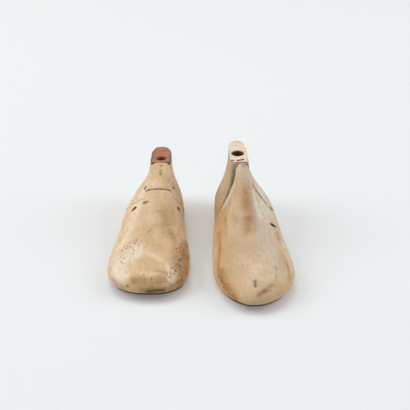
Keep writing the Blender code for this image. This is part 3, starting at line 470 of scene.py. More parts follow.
# On the hinged last the wide white streak high on the lateral flank is worn paler wood and partly painted light on
# that side.
HINGED.marks = read_marks("""
pale
13 0.4: -4 50 28, 8 36 26, 0 24 23
9 0.3: 14 150 48, 14 128 48, 18 112 38
4 0.7: 38 98 17, 41 66 15, 41 47 16
7 0.5: -9 150 60, -12 128 50, -14 108 42
white
7 0.4: 12 44 27, 2 34 25, 10 26 23, 22 30 23
4 0.9: 10 131 58, 11.5 120 54, 12.5 111 51, 14 103 47
14 0.65: 24 172 42, 22 154 38, 24 134 32
warm
8 1: -22 150 32, -23 137 29, -24 118 25, -27 98 22
7.5 1: -26 80 24, -28 60 22, -29 44 18, -26 30 14, -18 16 13
6 0.55: -18 16 13, -8 5 12
4.2 0.75: -7 155 70, -7 143 65, -7 126 58
6 0.35: 38 56 14, 37 36 13, 30 20 13
2.4 0.9: -11 158 62, -10 156 56
brown
2.4 1.1: -20 128 32, -20 118 31, -21 102 32
2 0.7: -19 99 38, -20 88 35
2.2 0.8: -26 115 23, -27 92 20, -29 70 19
2.2 1: -25 92 27, -28 66 24, -30 48 19
6.5 0.75: 1 132 64, 1 112 56, 2 102 50.5, 3 92 45.5, 1 84 42
6 0.35: -12 106 47, -10 96 46
4.4 1.25: -28 42 19, -26 31 17, -22 21 13.5, -17 13 10
3.2 0.5: 5 5 17, 10 9 19, 18 18 20
1.7 0.45: 34 116 21, 34 94 19, 33 62 25
2.2 0.6: 33 62 25, 36 49 22, 36 31 17
5 0.3: 32 60 24, 31 40 21
grey
13 0.8: 7 150 72, 8 132 60, 10 108 50, 15 90 42, 20 62 31, 26 40 24
16 0.9: 24 172 40, 22 152 36, 26 120 30, 30 90 25
7 0.7: 0 152 80, 4 140 68
cracks
7 0.3: -10 104 48, 2 90 44
grime
1.15 2.4: 3 22 22.5, 3.1 18 21.8, 2.8 15 21
1.6 0.45: 5 5 17, 8 7.5 18
2.1 0.6: 10 9 18.6, 12.5 11 18.9
1.2 0.4: 14 13 19.2, 18 19 20
1 0.7: 24 42 25, 24.5 37 24
0.9 0.35: 24 34 23, 23 24 20
0.8 0.25: 33 115 22, 33 101 20, 31 65 27
0.9 0.25: 36 54 23, 37 43 20, 37 32 16
1.5 0.25: -28 35 15.6, -26 28 14
1.1 1: 36 146 21
5.5 0.1: 1 126 63, 4 117 58.5, 5 108 54, 4 99 49.5, 2 91 45.5
1.2 0.7: 6 156 78, 3 154 81
1.3 0.6: 0 151 81, 1 150 80
specks
4 0.5: -30 50 18, -27 30 14
2.5 0.5: 14 12 19, 20 20 20
dent
0.9 0.9: 3 22.5 22.6, 3 14.5 20.8
1.6 0.3: 4 5 17, 10 9 19, 18 18 20
1 0.3: 24 43 25, 23 24 20
1.6 0.8: 6 158 79, 4 152 80
2.2 0.4: -27 31 14
""")
print("marks:", [{kind: len(rows) for kind, rows in last.marks.items()} for last in (BLOCK, HINGED)])

# %% [markdown]
# Saw cuts have worn edges, so their lines come next. In side view the lift-off block is a wedge, and the hinged
# last's cut is a bent line that opens like a V at the top.

# %% Saw lines in side view
WEDGE_FRONT, WEDGE_FOOT = table("121 58.5, 148 22.5", MM)
WEDGE_BACK = np.array((BLOCK.top_front, BLOCK.height))
WEDGE_FOOT_RADIUS, WEDGE_RISE = 4.0 * MM, 30 * MM


def unit(vector):
    """The vector's direction, with length 1."""
    return vector / np.linalg.norm(vector)


def wedge_line(grow):
    """The wedge's outline from front top round its foot to back top; grow moves its faces outwards."""
    down, up = unit(WEDGE_FOOT - WEDGE_FRONT), unit(WEDGE_BACK - WEDGE_FOOT)
    front = WEDGE_FRONT + grow * np.array((down[1], -down[0]))
    back = WEDGE_BACK + grow * np.array((up[1], -up[0]))
    corner = front + down * np.linalg.solve(np.stack([down, -up], axis=1), back - front)[0]
    half = np.arccos(-down @ up) / 2
    radius = WEDGE_FOOT_RADIUS + grow
    centre = corner + unit(up - down) * radius / np.sin(half)
    start, end = corner - down * radius / np.tan(half), corner + up * radius / np.tan(half)
    first, final = (np.arctan2(*(place - centre)[::-1]) for place in (start, end))
    angles = first + ((final - first + np.pi) % (2 * np.pi) - np.pi) * np.linspace(0, 1, 9)
    arc = centre + radius * np.stack([np.cos(angles), np.sin(angles)], axis=1)
    high = WEDGE_BACK[1] + WEDGE_RISE
    return np.vstack([front - down * (high - front[1]) / abs(down[1]), arc, back + up * (high - back[1]) / up[1]])


REAR_PIN, FRONT_PIN = table("155.5 27.5, 124 24.5", MM)
JOINT_SHARES = table("0.902 -0.06, 0.92 0.125, 0.952 0.31, 0.982 0.46, 1.01 0.625, 1.028 0.79, 1.032 1.35")
GAP_AT_TOP, V_FOOT = 6.3 * MM, 0.35
HEEL_FACE = JOINT_SHARES * (REAR_PIN[0], HINGED.height)
opening = np.clip((HEEL_FACE[:, 1] / HINGED.height - V_FOOT) / (1 - V_FOOT), 0.0, None)
FORE_FACE = HEEL_FACE - np.stack([FIT_GAP + (GAP_AT_TOP - FIT_GAP) * opening, 0 * opening], axis=1)
BLOCK.saw_lines, HINGED.saw_lines = (wedge_line(0.5 * FIT_GAP),), (HEEL_FACE, FORE_FACE)
print("V gap at the top in mm:", round((HEEL_FACE - FORE_FACE)[5, 0] / MM, 1))

# %% [markdown]
# Wear only takes wood away: every point moves inwards against the surface's normal, the cross product of the
# steps to the next row and to the next point of the slice.

# %% Wear the grids
END_WEAR = 0.1 * MM


def worn(last, seed):
    """Inward depth = a skin's breadth + soft lumps + knife facets + dents + rounding at the saw lines."""
    grid = last.grid
    depth = 0.12 + 0.16 * np.clip(lumps(grid, 34 * MM, seed) + 0.5, 0, None)
    depth += 0.05 * np.clip(lumps(grid * (1, 0.45, 1), 5.5 * MM, seed + 1), 0, None)
    depth += marks_on(grid, last.marks["dent"])
    ragged = np.clip(0.55 + 0.25 * lumps(grid, 7 * MM, seed + 2), 0.15, 1.2)
    for line in last.saw_lines:
        depth += ragged * np.exp(-((side_distance(grid, line) / (0.8 * MM)) ** 2))
    ends = np.minimum(1.0, np.minimum(grid[..., 1], last.length - grid[..., 1]) / (1.5 * MM))
    around = np.roll(grid, -1, axis=1) - np.roll(grid, 1, axis=1)
    normal = np.cross(np.gradient(grid, axis=0), around)
    normal /= np.maximum(np.linalg.norm(normal, axis=-1, keepdims=True), 1e-12)
    result = grid - normal * (depth * MM * ends)[..., None]
    result[..., 1] = np.clip(result[..., 1], END_WEAR, last.length - END_WEAR)
    return result


for last, seed in ((BLOCK, 11), (HINGED, 23)):
    last.worn_grid = worn(last, seed)
    print("deepest wear in mm:", round(np.abs(last.worn_grid - last.grid).max() / MM, 2))

# %% [markdown]
# ## From grids to solids
# The grid becomes a closed mesh: quads between its rows and a fan of triangles at either end. It is then turned
# and moved to where the last stands in the pair.

# %% Mesh helpers
REACH = 90 * MM


def to_world(last, points):
    """Last's own frame to the pair's: mirror x for the left last, turn about Z, move to the toe's place."""
    place = (last.lateral * points[..., 0] + 1j * points[..., 1]) * np.exp(1j * last.turn) + complex(*last.toe)
    return np.stack([place.real, place.imag, points[..., 2]], axis=-1)


def to_last(last, points):
    """The way back from the pair's frame to the last's own."""
    place = (points[..., 0] + 1j * points[..., 1] - complex(*last.toe)) * np.exp(-1j * last.turn)
    return np.stack([last.lateral * place.real, place.imag, points[..., 2]], axis=-1)


def new_piece(name, points, faces):
    """A mesh object from an array of points and a list of faces, its faces turned outwards."""
    mesh = bpy.data.meshes.new(name)
    mesh.from_pydata(points.reshape(-1, 3).tolist(), [], faces)
    shape = bmesh.new()
    shape.from_mesh(mesh)
    bmesh.ops.recalc_face_normals(shape, faces=shape.faces)
    shape.to_mesh(mesh)
    shape.free()
    piece = bpy.data.objects.new(name, mesh)
    bpy.context.scene.collection.objects.link(piece)
    return piece


def grid_faces(rows, columns, closed_rows=False):
    """Quads between neighbouring rows of a grid whose columns run round and close."""
    i = np.arange(rows if closed_rows else rows - 1)[:, None] * columns
    j, k = np.arange(columns)[None], (np.arange(columns)[None] + 1) % columns
    up = (i + columns) % (rows * columns)
    return np.stack([i + j, i + k, up + k, up + j], axis=-1).reshape(-1, 4).tolist()


def solid_form(last, name):
    """The worn grid as a closed solid with a pole at the toe and one at the heel."""
    rows, columns = last.worn_grid.shape[:2]
    poles = (0, END_WEAR, NOSE_HEIGHT * last.height), (0, last.length - END_WEAR, BACK_HEIGHT * last.height)
    points = np.concatenate([last.worn_grid.reshape(-1, 3), poles])
    faces = grid_faces(rows, columns)
    ring = np.arange(columns)
    for pole, first in ((rows * columns, 0), (rows * columns + 1, (rows - 1) * columns)):
        faces += np.stack([first + ring, first + (ring + 1) % columns, np.full(columns, pole)], axis=1).tolist()
    return new_piece(name, to_world(last, points), faces)


def tube(last, name, rings):
    """A closed solid through rings of as many points each."""
    points = to_world(last, np.array(rings))
    rows, columns = points.shape[:2]
    ends = [list(range(first, first + columns)) for first in (0, (rows - 1) * columns)]
    return new_piece(name, points, grid_faces(rows, columns) + ends)


def prism(last, name, line, low=-REACH, high=REACH):
    """A side-view outline pulled across the last."""
    return tube(last, name, [np.column_stack([np.full(len(line), x), line]) for x in (low, high)])


def rod(last, name, start, end, radius, steps=32):
    """A round rod from start to end: two rings of points about its axis, closed by a face at each end."""
    start, end = np.array(start), np.array(end)
    axis = unit(end - start)
    side = unit(np.cross(axis, (0.3, 0.2, 0.9) if abs(axis[2]) < 0.9 else (1.0, 0.0, 0.0)))
    turn = 2 * np.pi * np.arange(steps)[:, None] / steps
    ring = radius * (np.cos(turn) * side + np.sin(turn) * np.cross(axis, side))
    return tube(last, name, [start + ring, end + ring])


print("the pair's toes stand at, mm:", [np.round(np.array(last.toe) / MM, 1).tolist() for last in (BLOCK, HINGED)])

# %% [markdown]
# ## Cutting the wood
# Solids for the saw, the drill and the slots cut the worn forms. A Boolean keeps the worn surface up to the edge.

# %% Cutting helpers
CLEAR_ABOVE = 60 * MM
PIN_BORE_RADIUS, BLIND_DEPTH = 2.3 * MM, 9 * MM
THIMBLE_LENGTH, THIMBLE_WALL, BELOW_THIMBLE = 36 * MM, 0.8 * MM, 4 * MM


def on_top(last, x, y, up):
    """A point of the cone top's plane over (x, y), moved up by a height square to that plane."""
    along = (y - last.top_front) / np.cos(last.tilt)
    y_out = last.top_front + along * np.cos(last.tilt) + up * np.sin(last.tilt)
    return np.array((x, y_out, last.height - along * np.sin(last.tilt) + up * np.cos(last.tilt)))


def above_wood(last, front):
    """A box parallel to the cone top, over the wood that the top plate stands on, from the front backwards."""
    low, back = -last.plate - FIT_GAP, last.length + 40 * MM
    corners = (front, low), (back, low), (back, CLEAR_ABOVE), (front, CLEAR_ABOVE)
    return prism(last, "above_wood", np.array([on_top(last, 0, y, up)[1:] for y, up in corners]))


def carve(piece, cutters, operation="DIFFERENCE"):
    """Cuts the piece with each cutter in turn, keeps the result as its mesh and removes the cutters."""
    for cutter in cutters:
        change = piece.modifiers.new(cutter.name, "BOOLEAN")
        change.object, change.operation, change.solver = cutter, operation, "MANIFOLD"
        bpy.context.view_layer.update()
        result = bpy.data.meshes.new_from_object(piece.evaluated_get(bpy.context.evaluated_depsgraph_get()))
        piece.modifiers.clear()
        piece.data = result
        bpy.data.objects.remove(cutter)
    result.name = piece.name
    return piece


def side_reach(last, y, z):
    """How far the lateral and the medial side of the form reach from the axis at one place and height."""
    v = values_at(last, y)
    return [np.interp(z, line.imag, line.real) for line in (half_slice(v, side)[:, 0] for side in v.sides)]


def cross_bore(last, y, z, start=-REACH):
    """The drill for a pin that lies across the last, from its start out through the lateral side."""
    return rod(last, "cross_bore", (start, y, z), (REACH, y, z), PIN_BORE_RADIUS)


def blind_bore(last, y, z):
    """A drill that stops short of the medial side, so that nothing shows there."""
    return cross_bore(last, y, z, BLIND_DEPTH - side_reach(last, y, z)[1] - FIT_GAP)


def top_bore(last, place, above, below, radius, steps=32):
    """A drill square to the cone top, from a height above it to a depth below it."""
    return rod(last, "top_bore", on_top(last, *place, above), on_top(last, *place, -below), radius, steps)


def jack_bore(last):
    """The drill for the thimble in which the jack's pin stands."""
    depth = last.plate + FIT_GAP + THIMBLE_LENGTH + BELOW_THIMBLE
    return top_bore(last, last.jack, 30 * MM, depth, last.bore / 2 + THIMBLE_WALL + FIT_GAP)


def slot(last, y, low, high, half_width):
    """The slot for a flat piece that stands in the axis at y, between its low and its high (y, z) corner."""
    x = values_at(last, y).centre[0]
    line = np.array((low, (high[0], low[1]), high, (low[0], high[1])))
    return prism(last, "slot", line, x - half_width - FIT_GAP, x + half_width + FIT_GAP)


for last in (BLOCK, HINGED):
    print("cone top at the jack bore, mm:", np.round(on_top(last, *last.jack, 0) / MM, 1))

# %% Cut the block last's wood
*BODY_PINS, BLOCK_PIN, PEG = table("130 31, 147 20.5, 145.5 48, 108 49", MM)
tongue_low, tongue_high = table("142 14.5, 152 54.5", MM)
TONGUE_SLOT = (BLOCK, BLOCK_PIN[0], tongue_low - FIT_GAP, tongue_high + FIT_GAP, 2 * MM)
block_body = solid_form(BLOCK, "worn_block_body")
scoop_block = solid_form(BLOCK, "worn_scoop_block")
carve(block_body, [
    prism(BLOCK, "seat", wedge_line(FIT_GAP)),
    above_wood(BLOCK, BLOCK.top_front - 3 * MM),
    jack_bore(BLOCK),
    slot(*TONGUE_SLOT),
    cross_bore(BLOCK, *BODY_PINS[0]),
    cross_bore(BLOCK, *BODY_PINS[1]),
    cross_bore(BLOCK, *PEG, start=side_reach(BLOCK, *PEG)[0] - BLIND_DEPTH - FIT_GAP),
])
carve(scoop_block, [prism(BLOCK, "wedge", wedge_line(0.0))], "INTERSECT")
carve(scoop_block, [slot(*TONGUE_SLOT), cross_bore(BLOCK, *BLOCK_PIN)])
print("faces:", len(block_body.data.polygons), len(scoop_block.data.polygons))

# %% Cut the hinged last's wood
NAIL = np.array((-4.2, 199.0)) * MM
LINK_SLOT = (HINGED, REAR_PIN[0], *table("116.2 14, 166 38", MM), 1.5 * MM)
forepart = solid_form(HINGED, "worn_forepart")
heel_part = solid_form(HINGED, "worn_heel_part")
behind = [(300.0 * MM, FORE_FACE[0, 1]), (300.0 * MM, FORE_FACE[-1, 1])]
before = [(-REACH, HEEL_FACE[-1, 1]), (-REACH, HEEL_FACE[0, 1])]
carve(forepart, [
    prism(HINGED, "back_room", np.concatenate([behind, FORE_FACE[::-1]])),
    slot(*LINK_SLOT),
    blind_bore(HINGED, *FRONT_PIN),
])
carve(heel_part, [
    prism(HINGED, "front_room", np.concatenate([HEEL_FACE, before])),
    above_wood(HINGED, 120 * MM),
    jack_bore(HINGED),
    top_bore(HINGED, NAIL, 9 * MM, 7.5 * MM, 1.1 * MM),
    slot(*LINK_SLOT),
    blind_bore(HINGED, *REAR_PIN),
])
print("faces:", len(forepart.data.polygons), len(heel_part.data.polygons))

# %% [markdown]
# ## Top plates
# A round-edged plate with a hole is a loop carried round the hole: from the bore's edge over the top, down round
# the outer edge and back along the underside. The right plate has a torn front edge and two torn slots.

# %% Top plates as loops carried round the bore
PLATE_TURNS, TOP_STEPS, PLATE_INSET, BORE_PLAY = 480, 26, 0.25 * MM, 0.05 * MM


def plate_outline(last, front):
    """Where the worn form meets the plate's middle plane, as a closed outline of (x, y) from the front back."""
    y = np.linspace(last.top_front - 2 * MM, last.length - 1 * MM, 260)
    v = outline_values(last, y)
    z = last.height - (y - last.top_front) * np.tan(last.tilt) - 0.5 * last.plate
    rows = [zip(z, half_slice(v, side).T) for side in v.sides]
    reach = np.array([[np.interp(h, line.imag, line.real, right=np.nan) for h, line in row] for row in rows])
    keep = np.isfinite(reach).all(axis=0) & (reach.sum(axis=0) > 0.5 * MM) & (y > front)
    y, lateral, medial = y[keep], reach[0][keep] - PLATE_INSET, PLATE_INSET - reach[1][keep]
    across = np.linspace(medial[0], lateral[0], 60)
    return np.column_stack([
        np.concatenate([lateral, medial[::-1], across]), np.concatenate([y, y[::-1], np.full(60, y[0])]),
    ])


def distance_round(centre, outline, angles):
    """Distance from the centre to a closed outline in each direction, read off the outline's polar angles."""
    offset = outline - centre
    polar = np.arctan2(offset[:, 1], offset[:, 0])
    order = np.argsort(polar)
    return np.interp(angles, polar[order], np.linalg.norm(offset, axis=1)[order], period=2 * np.pi)


def keep_values(piece, name, values):
    """Keeps one number per point on a piece, for its finish to read."""
    layer = piece.data.attributes.new(name, "FLOAT", "POINT")
    layer.data.foreach_set("value", values.astype(np.float32).ravel())


def top_plate(last, name, front, r, torn, seed):
    """Loop = bore's edge, top, outer edge (both edges rounded by r), underside; round the jack bore's centre."""
    angles = np.linspace(-np.pi, np.pi, PLATE_TURNS, endpoint=False)
    centre = np.array(last.jack)
    outer = distance_round(centre, plate_outline(last, front), angles)
    x_edge = centre[0] + outer * np.cos(angles)
    at_front = centre[1] + outer * np.sin(angles) < front + 2.5 * MM
    tear = sum(depth * np.exp(-(((x_edge / MM - place) / width) ** 4)) for place, width, depth in torn)
    outer = outer - tear * MM * at_front
    inner = last.bore / 2 + BORE_PLAY
    share = np.linspace(0.0, 1.0, TOP_STEPS)[1:-1, None]
    bend = np.linspace(0, np.pi / 2, 6)[:, None]
    loop = (
        (inner + r * (1 - np.cos(bend)), r * np.sin(bend) - r),
        (inner + r + (outer - inner - 2 * r) * share, 0 * share),
        (outer - r + r * np.sin(bend), r * np.cos(bend) - r),
        (outer - np.array([[0.0], [0.3 * MM]]), last.plate * np.array([[-0.7], [-1.0]])),
        (inner + (outer - inner) * np.array([[0.6], [0.25], [0.0]]), np.full((3, 1), -last.plate)),
    )
    radius, height = (np.concatenate([part + 0 * outer for part in parts]) for parts in zip(*loop))
    x = centre[0] + radius * np.cos(angles)
    y = centre[1] + radius * np.sin(angles)
    flat = np.stack([x, y, height], axis=-1)
    worn_top = 0.10 + 0.05 * np.clip(lumps(flat, 9 * MM, seed), -1, 2) + 0.02 * lumps(flat, 2.2 * MM, seed + 1)
    height = height - np.clip(worn_top, 0.02, None) * MM * (height > -r * 1.01)
    z = last.height - (y - last.top_front) * np.tan(last.tilt) + height * np.cos(last.tilt)
    points = to_world(last, np.stack([x, y + height * np.sin(last.tilt), z], axis=-1))
    plate = new_piece(name, points, grid_faces(*points.shape[:2], closed_rows=True))
    keep_values(plate, "rim", np.exp(-np.clip(outer - radius, 0, None) / (1.6 * MM)))
    return plate


TORN = table("-8.6 1.2 0.25, 3.4 1 0.5")
TORN_SLOTS = [table(outline, MM) for outline in (
    "-12.1 163.4, -10.8 162.9, -8.8 163.1, -7.4 164.2, -8.1 165.4, -9.9 166.1, -11.6 165.5",
    "-5.9 163, -4.6 162.2, -2.8 162.4, -1.2 163.6, 0.4 163.8, 2 164.6, 2.9 166.1, "
    "1.5 167.5, -0.4 167.4, -1.6 166.4, -3.2 165.9, -5.1 165.6",
)]
red_plate = top_plate(BLOCK, "leather_top", BLOCK.top_front + 0.7 * MM, 0.9 * MM, (), 31)
cream_plate = top_plate(HINGED, "cream_top", HINGED.top_front + 0.15 * MM, 0.45 * MM, TORN, 37)
for outline in TORN_SLOTS:
    punch = [[on_top(HINGED, x, y, up * MM) for x, y in outline] for up in (-4, 3)]
    carve(cream_plate, [tube(HINGED, "slot_punch", punch)])
carve(cream_plate, [top_bore(HINGED, NAIL, 3 * MM, 4 * MM, 1.0 * MM, 20)])
print("plates in mm:", [np.round(np.array(p.dimensions) / MM, 1).tolist() for p in (red_plate, cream_plate)])

# %% [markdown]
# ## Sole and heel plates
# The dark line round the bottom edge of each last is a thin plate: a flat loop with rounded edges carried along
# the last, with holes that let the brads' heads show.

# %% Plates under the soles
UNDER_PLATES = (
    ("sole_plate", TOE_OVERHANG, 0.56, table("0.11 0.02, 0.27 0.31, 0.27 -0.27, 0.47 0.03")),
    ("heel_plate", 0.745, 1.0 - HEEL_OVERHANG, table("0.79 0.16, 0.79 -0.14, 0.9 0.01")),
)


def under_plate(last, name, start, end, brads):
    """Loop across the sole (edge half circles joined by flats) at each distance from the toe, drilled for brads."""
    start, end = start * last.length, end * last.length
    at = start + (end - start) * (1 - np.cos(np.pi * np.linspace(0, 1, 150))) / 2
    v = outline_values(last, at)
    inset = 0.1 * MM + 0.12 * MM * np.clip(lumps(np.stack([0 * at, at, 0 * at], -1), 14 * MM, 41), 0, None)
    half = SOLE_PLATE_THICKNESS / 2
    lateral, medial = ((side.foot - inset - half)[:, None] for side in v.sides)
    top = (v.sole - FIT_GAP)[:, None]
    bend, flat = np.linspace(-np.pi / 2, np.pi / 2, 9), np.linspace(0, 1, 14)[1:-1]
    x = np.hstack([
        lateral + half * np.cos(bend), lateral * (1 - flat) - medial * flat,
        -medial - half * np.cos(bend), lateral * flat - medial * (1 - flat),
    ])
    z = np.hstack([
        top - half + half * np.sin(bend), top + 0 * flat, top - half - half * np.sin(bend), top - 2 * half + 0 * flat,
    ])
    plate = tube(last, name, np.stack([x, at[:, None] + 0 * x, z], axis=-1))
    holes = []
    for along, across in brads:
        x, y = across * last.ball, along * last.length
        z = values_at(last, y).sole[0]
        holes.append(rod(last, "brad_hole", (x, y, z - 9 * MM), (x, y, z + 3 * MM), 1.3 * MM, 20))
    return carve(plate, holes)


plates = {}
for last in (BLOCK, HINGED):
    for part, *size_and_brads in UNDER_PLATES:
        name = last.name + "_" + part
        plates[name] = under_plate(last, "worn_" + name, *size_and_brads)
print("under plates:", {name: len(p.data.polygons) for name, p in plates.items()})

# %% [markdown]
# ## Painting marks on the wood
# Every point of the finished meshes keeps one number per kind of mark, by which the wood's shader mixes its
# colours. Sawn faces and the walls of bores are found by their place and get finishes of their own.

# %% Paint the wood pieces
MARK_KINDS = ("pale", "white", "warm", "brown", "grey", "patch", "cracks", "grime", "specks")
BLOCK.pins, HINGED.pins = (*BODY_PINS, BLOCK_PIN), (FRONT_PIN, REAR_PIN)
SKIN, SAWN, BORED = 0, 1, 2


def block_saw_shade(points):
    """Strength and breadth of the painted shade at a saw line: the front cut is dark across the crest, faint on the
    flanks.
    """
    crest = np.clip((points[:, 2] / MM - 50) / 5, 0, 1) * (points[:, 1] < 135 * MM)
    return 0.28 + 0.72 * crest, (0.5 + 0.35 * crest) * MM


def forepart_saw_shade(points):
    """Painted shade in the saw gap: a dark crescent on the lateral side, thickest half way down; none on the medial
    side.
    """
    half_way = np.exp(-(((points[:, 2] / MM - 46) / 10) ** 2))
    return np.where(points[:, 0] > 0, 0.5 + 0.7 * half_way, 0.0), (0.5 + 1.1 * half_way) * MM


def heel_saw_shade(points):
    """The same crescent of painted shade, and a thin dark edge of painted shade on the medial side."""
    strength, breadth = forepart_saw_shade(points)
    return np.where(points[:, 0] > 0, strength, 0.7), breadth


def rows_of(items, field):
    """One field of all points or faces, three numbers each."""
    values = np.empty(len(items) * 3, np.float32)
    items.foreach_get(field, values)
    return values.reshape(-1, 3).astype(float)


def from_pins(last, points):
    """Distance from the axis of each cross pin in turn; the hinged last's pins show on the lateral side only."""
    for y, z in last.pins:
        away = np.hypot(points[:, 1] - y, points[:, 2] - z)
        yield np.where((last is BLOCK) | (points[:, 0] > 0), away, np.inf)


def smooth(piece, degrees):
    """Smooth shading that keeps edges sharper than an angle."""
    piece.data.shade_smooth()
    piece.data.set_sharp_from_angle(angle=np.radians(degrees))


def paint(piece, last, darkening):
    """Keeps one number per point and kind of mark: streaks, plus painted shade along the saw lines and darker rims at
    the pin bores and along the sole.
    """
    points = to_last(last, rows_of(piece.data.vertices, "co"))
    values = {kind: marks_on(points, last.marks.get(kind, ())) for kind in MARK_KINDS}
    saw = np.min([side_distance(points, line) for line in last.saw_lines], axis=0)
    strength, breadth = darkening(points)
    rim = np.clip(np.min(list(from_pins(last, points)), axis=0) - PIN_BORE_RADIUS, 0, None)
    along = np.clip(points[:, 1], 12 * MM, last.length - 14 * MM)
    foot = np.clip(points[:, 2] - 1.6 * MM - outline_values(last, along).sole, 0, None)
    # Besides its own grime marks, this value takes the painted shade along the saw lines, a darker ring round each
    # pin bore and a darker band along the foot.
    values["grime"] = np.max([
        values["grime"], strength * np.exp(-((saw / breadth) ** 2)), 0.45 * np.exp(-((rim / (0.45 * MM)) ** 2)),
        0.35 * np.exp(-((foot / (1.0 * MM)) ** 2)),
    ], axis=0)
    if piece is forepart:
        # Pale green band along the forepart's cut on the medial side: damp wood, and a painted highlight on its
        # rounded edge.
        damp_and_highlight = np.exp(-((side_distance(points, FORE_FACE) / (7.0 * MM)) ** 2)) * (points[:, 0] < -3 * MM)
        shown = np.clip((points[:, 2] / MM - 26) / 12, 0, 1)
        values["patch"] = np.maximum(values["patch"], 1.3 * damp_and_highlight * shown)
    for kind, value in values.items():
        keep_values(piece, "wood_" + kind, value)
    smooth(piece, 38.0)
    return {kind: round(float(value.max()), 2) for kind, value in values.items()}


def plate_seat(last):
    """The sawn cone top under the plate, in side view."""
    return np.array([on_top(last, 0.0, y, -last.plate - FIT_GAP)[1:] for y in (120 * MM, 260 * MM)])


def inner_faces(piece, last, saw_faces):
    """Skin, a sawn face (its middle lies on a saw line) or the wall of a cross bore, for each face."""
    middle, normal = to_last(last, rows_of(piece.data.polygons, "center")), rows_of(piece.data.polygons, "normal")
    kind = np.full(len(middle), SKIN)
    saw = np.min([side_distance(middle, line) for line in (*saw_faces, plate_seat(last))], axis=0)
    kind[(saw < 0.01 * MM) & (np.abs(normal[:, 0]) < 0.1)] = SAWN
    kind[np.min(list(from_pins(last, middle)), axis=0) < PIN_BORE_RADIUS] = BORED
    return kind


BLOCK_FACES, HINGED_FACES = (wedge_line(0.0), wedge_line(FIT_GAP)), (HEEL_FACE, FORE_FACE)
face_kinds = {}
# Each wood piece takes its marks and the painted shade along its own saw lines.
for piece, last, darkening, saw_faces in (
    (block_body, BLOCK, block_saw_shade, BLOCK_FACES),
    (scoop_block, BLOCK, block_saw_shade, BLOCK_FACES),
    (forepart, HINGED, forepart_saw_shade, HINGED_FACES),
    (heel_part, HINGED, heel_saw_shade, HINGED_FACES),
):
    print(piece.name, paint(piece, last, darkening))
    face_kinds[piece.name] = inner_faces(piece, last, saw_faces)
    print("  skin, sawn and bored faces:", np.bincount(face_kinds[piece.name], minlength=3).tolist())

# %% Tell the walls of the torn slots apart
middle, normal = (rows_of(cream_plate.data.polygons, field) for field in ("center", "normal"))
middle = np.roll(to_last(HINGED, middle), 1, axis=1)
near_slot = np.min([side_distance(middle, np.vstack([line, line[:1]])) for line in TORN_SLOTS], axis=0) < 0.3 * MM
face_kinds[cream_plate.name] = (near_slot & (np.abs(normal[:, 2]) < 0.5)).astype(int)
print("torn faces of the cream plate:", int(face_kinds[cream_plate.name].sum()))

# %% [markdown]
# ## Finishes
# Beech is pale and close-grained, with short dark flecks. Noise drawn out along the last gives the fibres, rings
# about an axis below it the figure, and the painted marks come on top.

# %% Wood finish
# The third colour serves both the grime marks and the painted shade along the saw gaps.
FLECK, CRACK, GRIME_AND_SHADE, PIT = (0.16, 0.09, 0.045), (0.19, 0.10, 0.045), (0.060, 0.034, 0.018), (0.10, 0.058, 0.028)


def dim(colour, factor):
    """A darker shade."""
    return tuple(factor * c for c in colour)


def over(colour, *layers):
    """Lays tones over a colour, each where its value rises from low to high, and by its share at most."""
    for value, low, high, most, tone in layers:
        colour = mix(ramp(value, low, high, 0.0, most), colour, tone)
    return colour


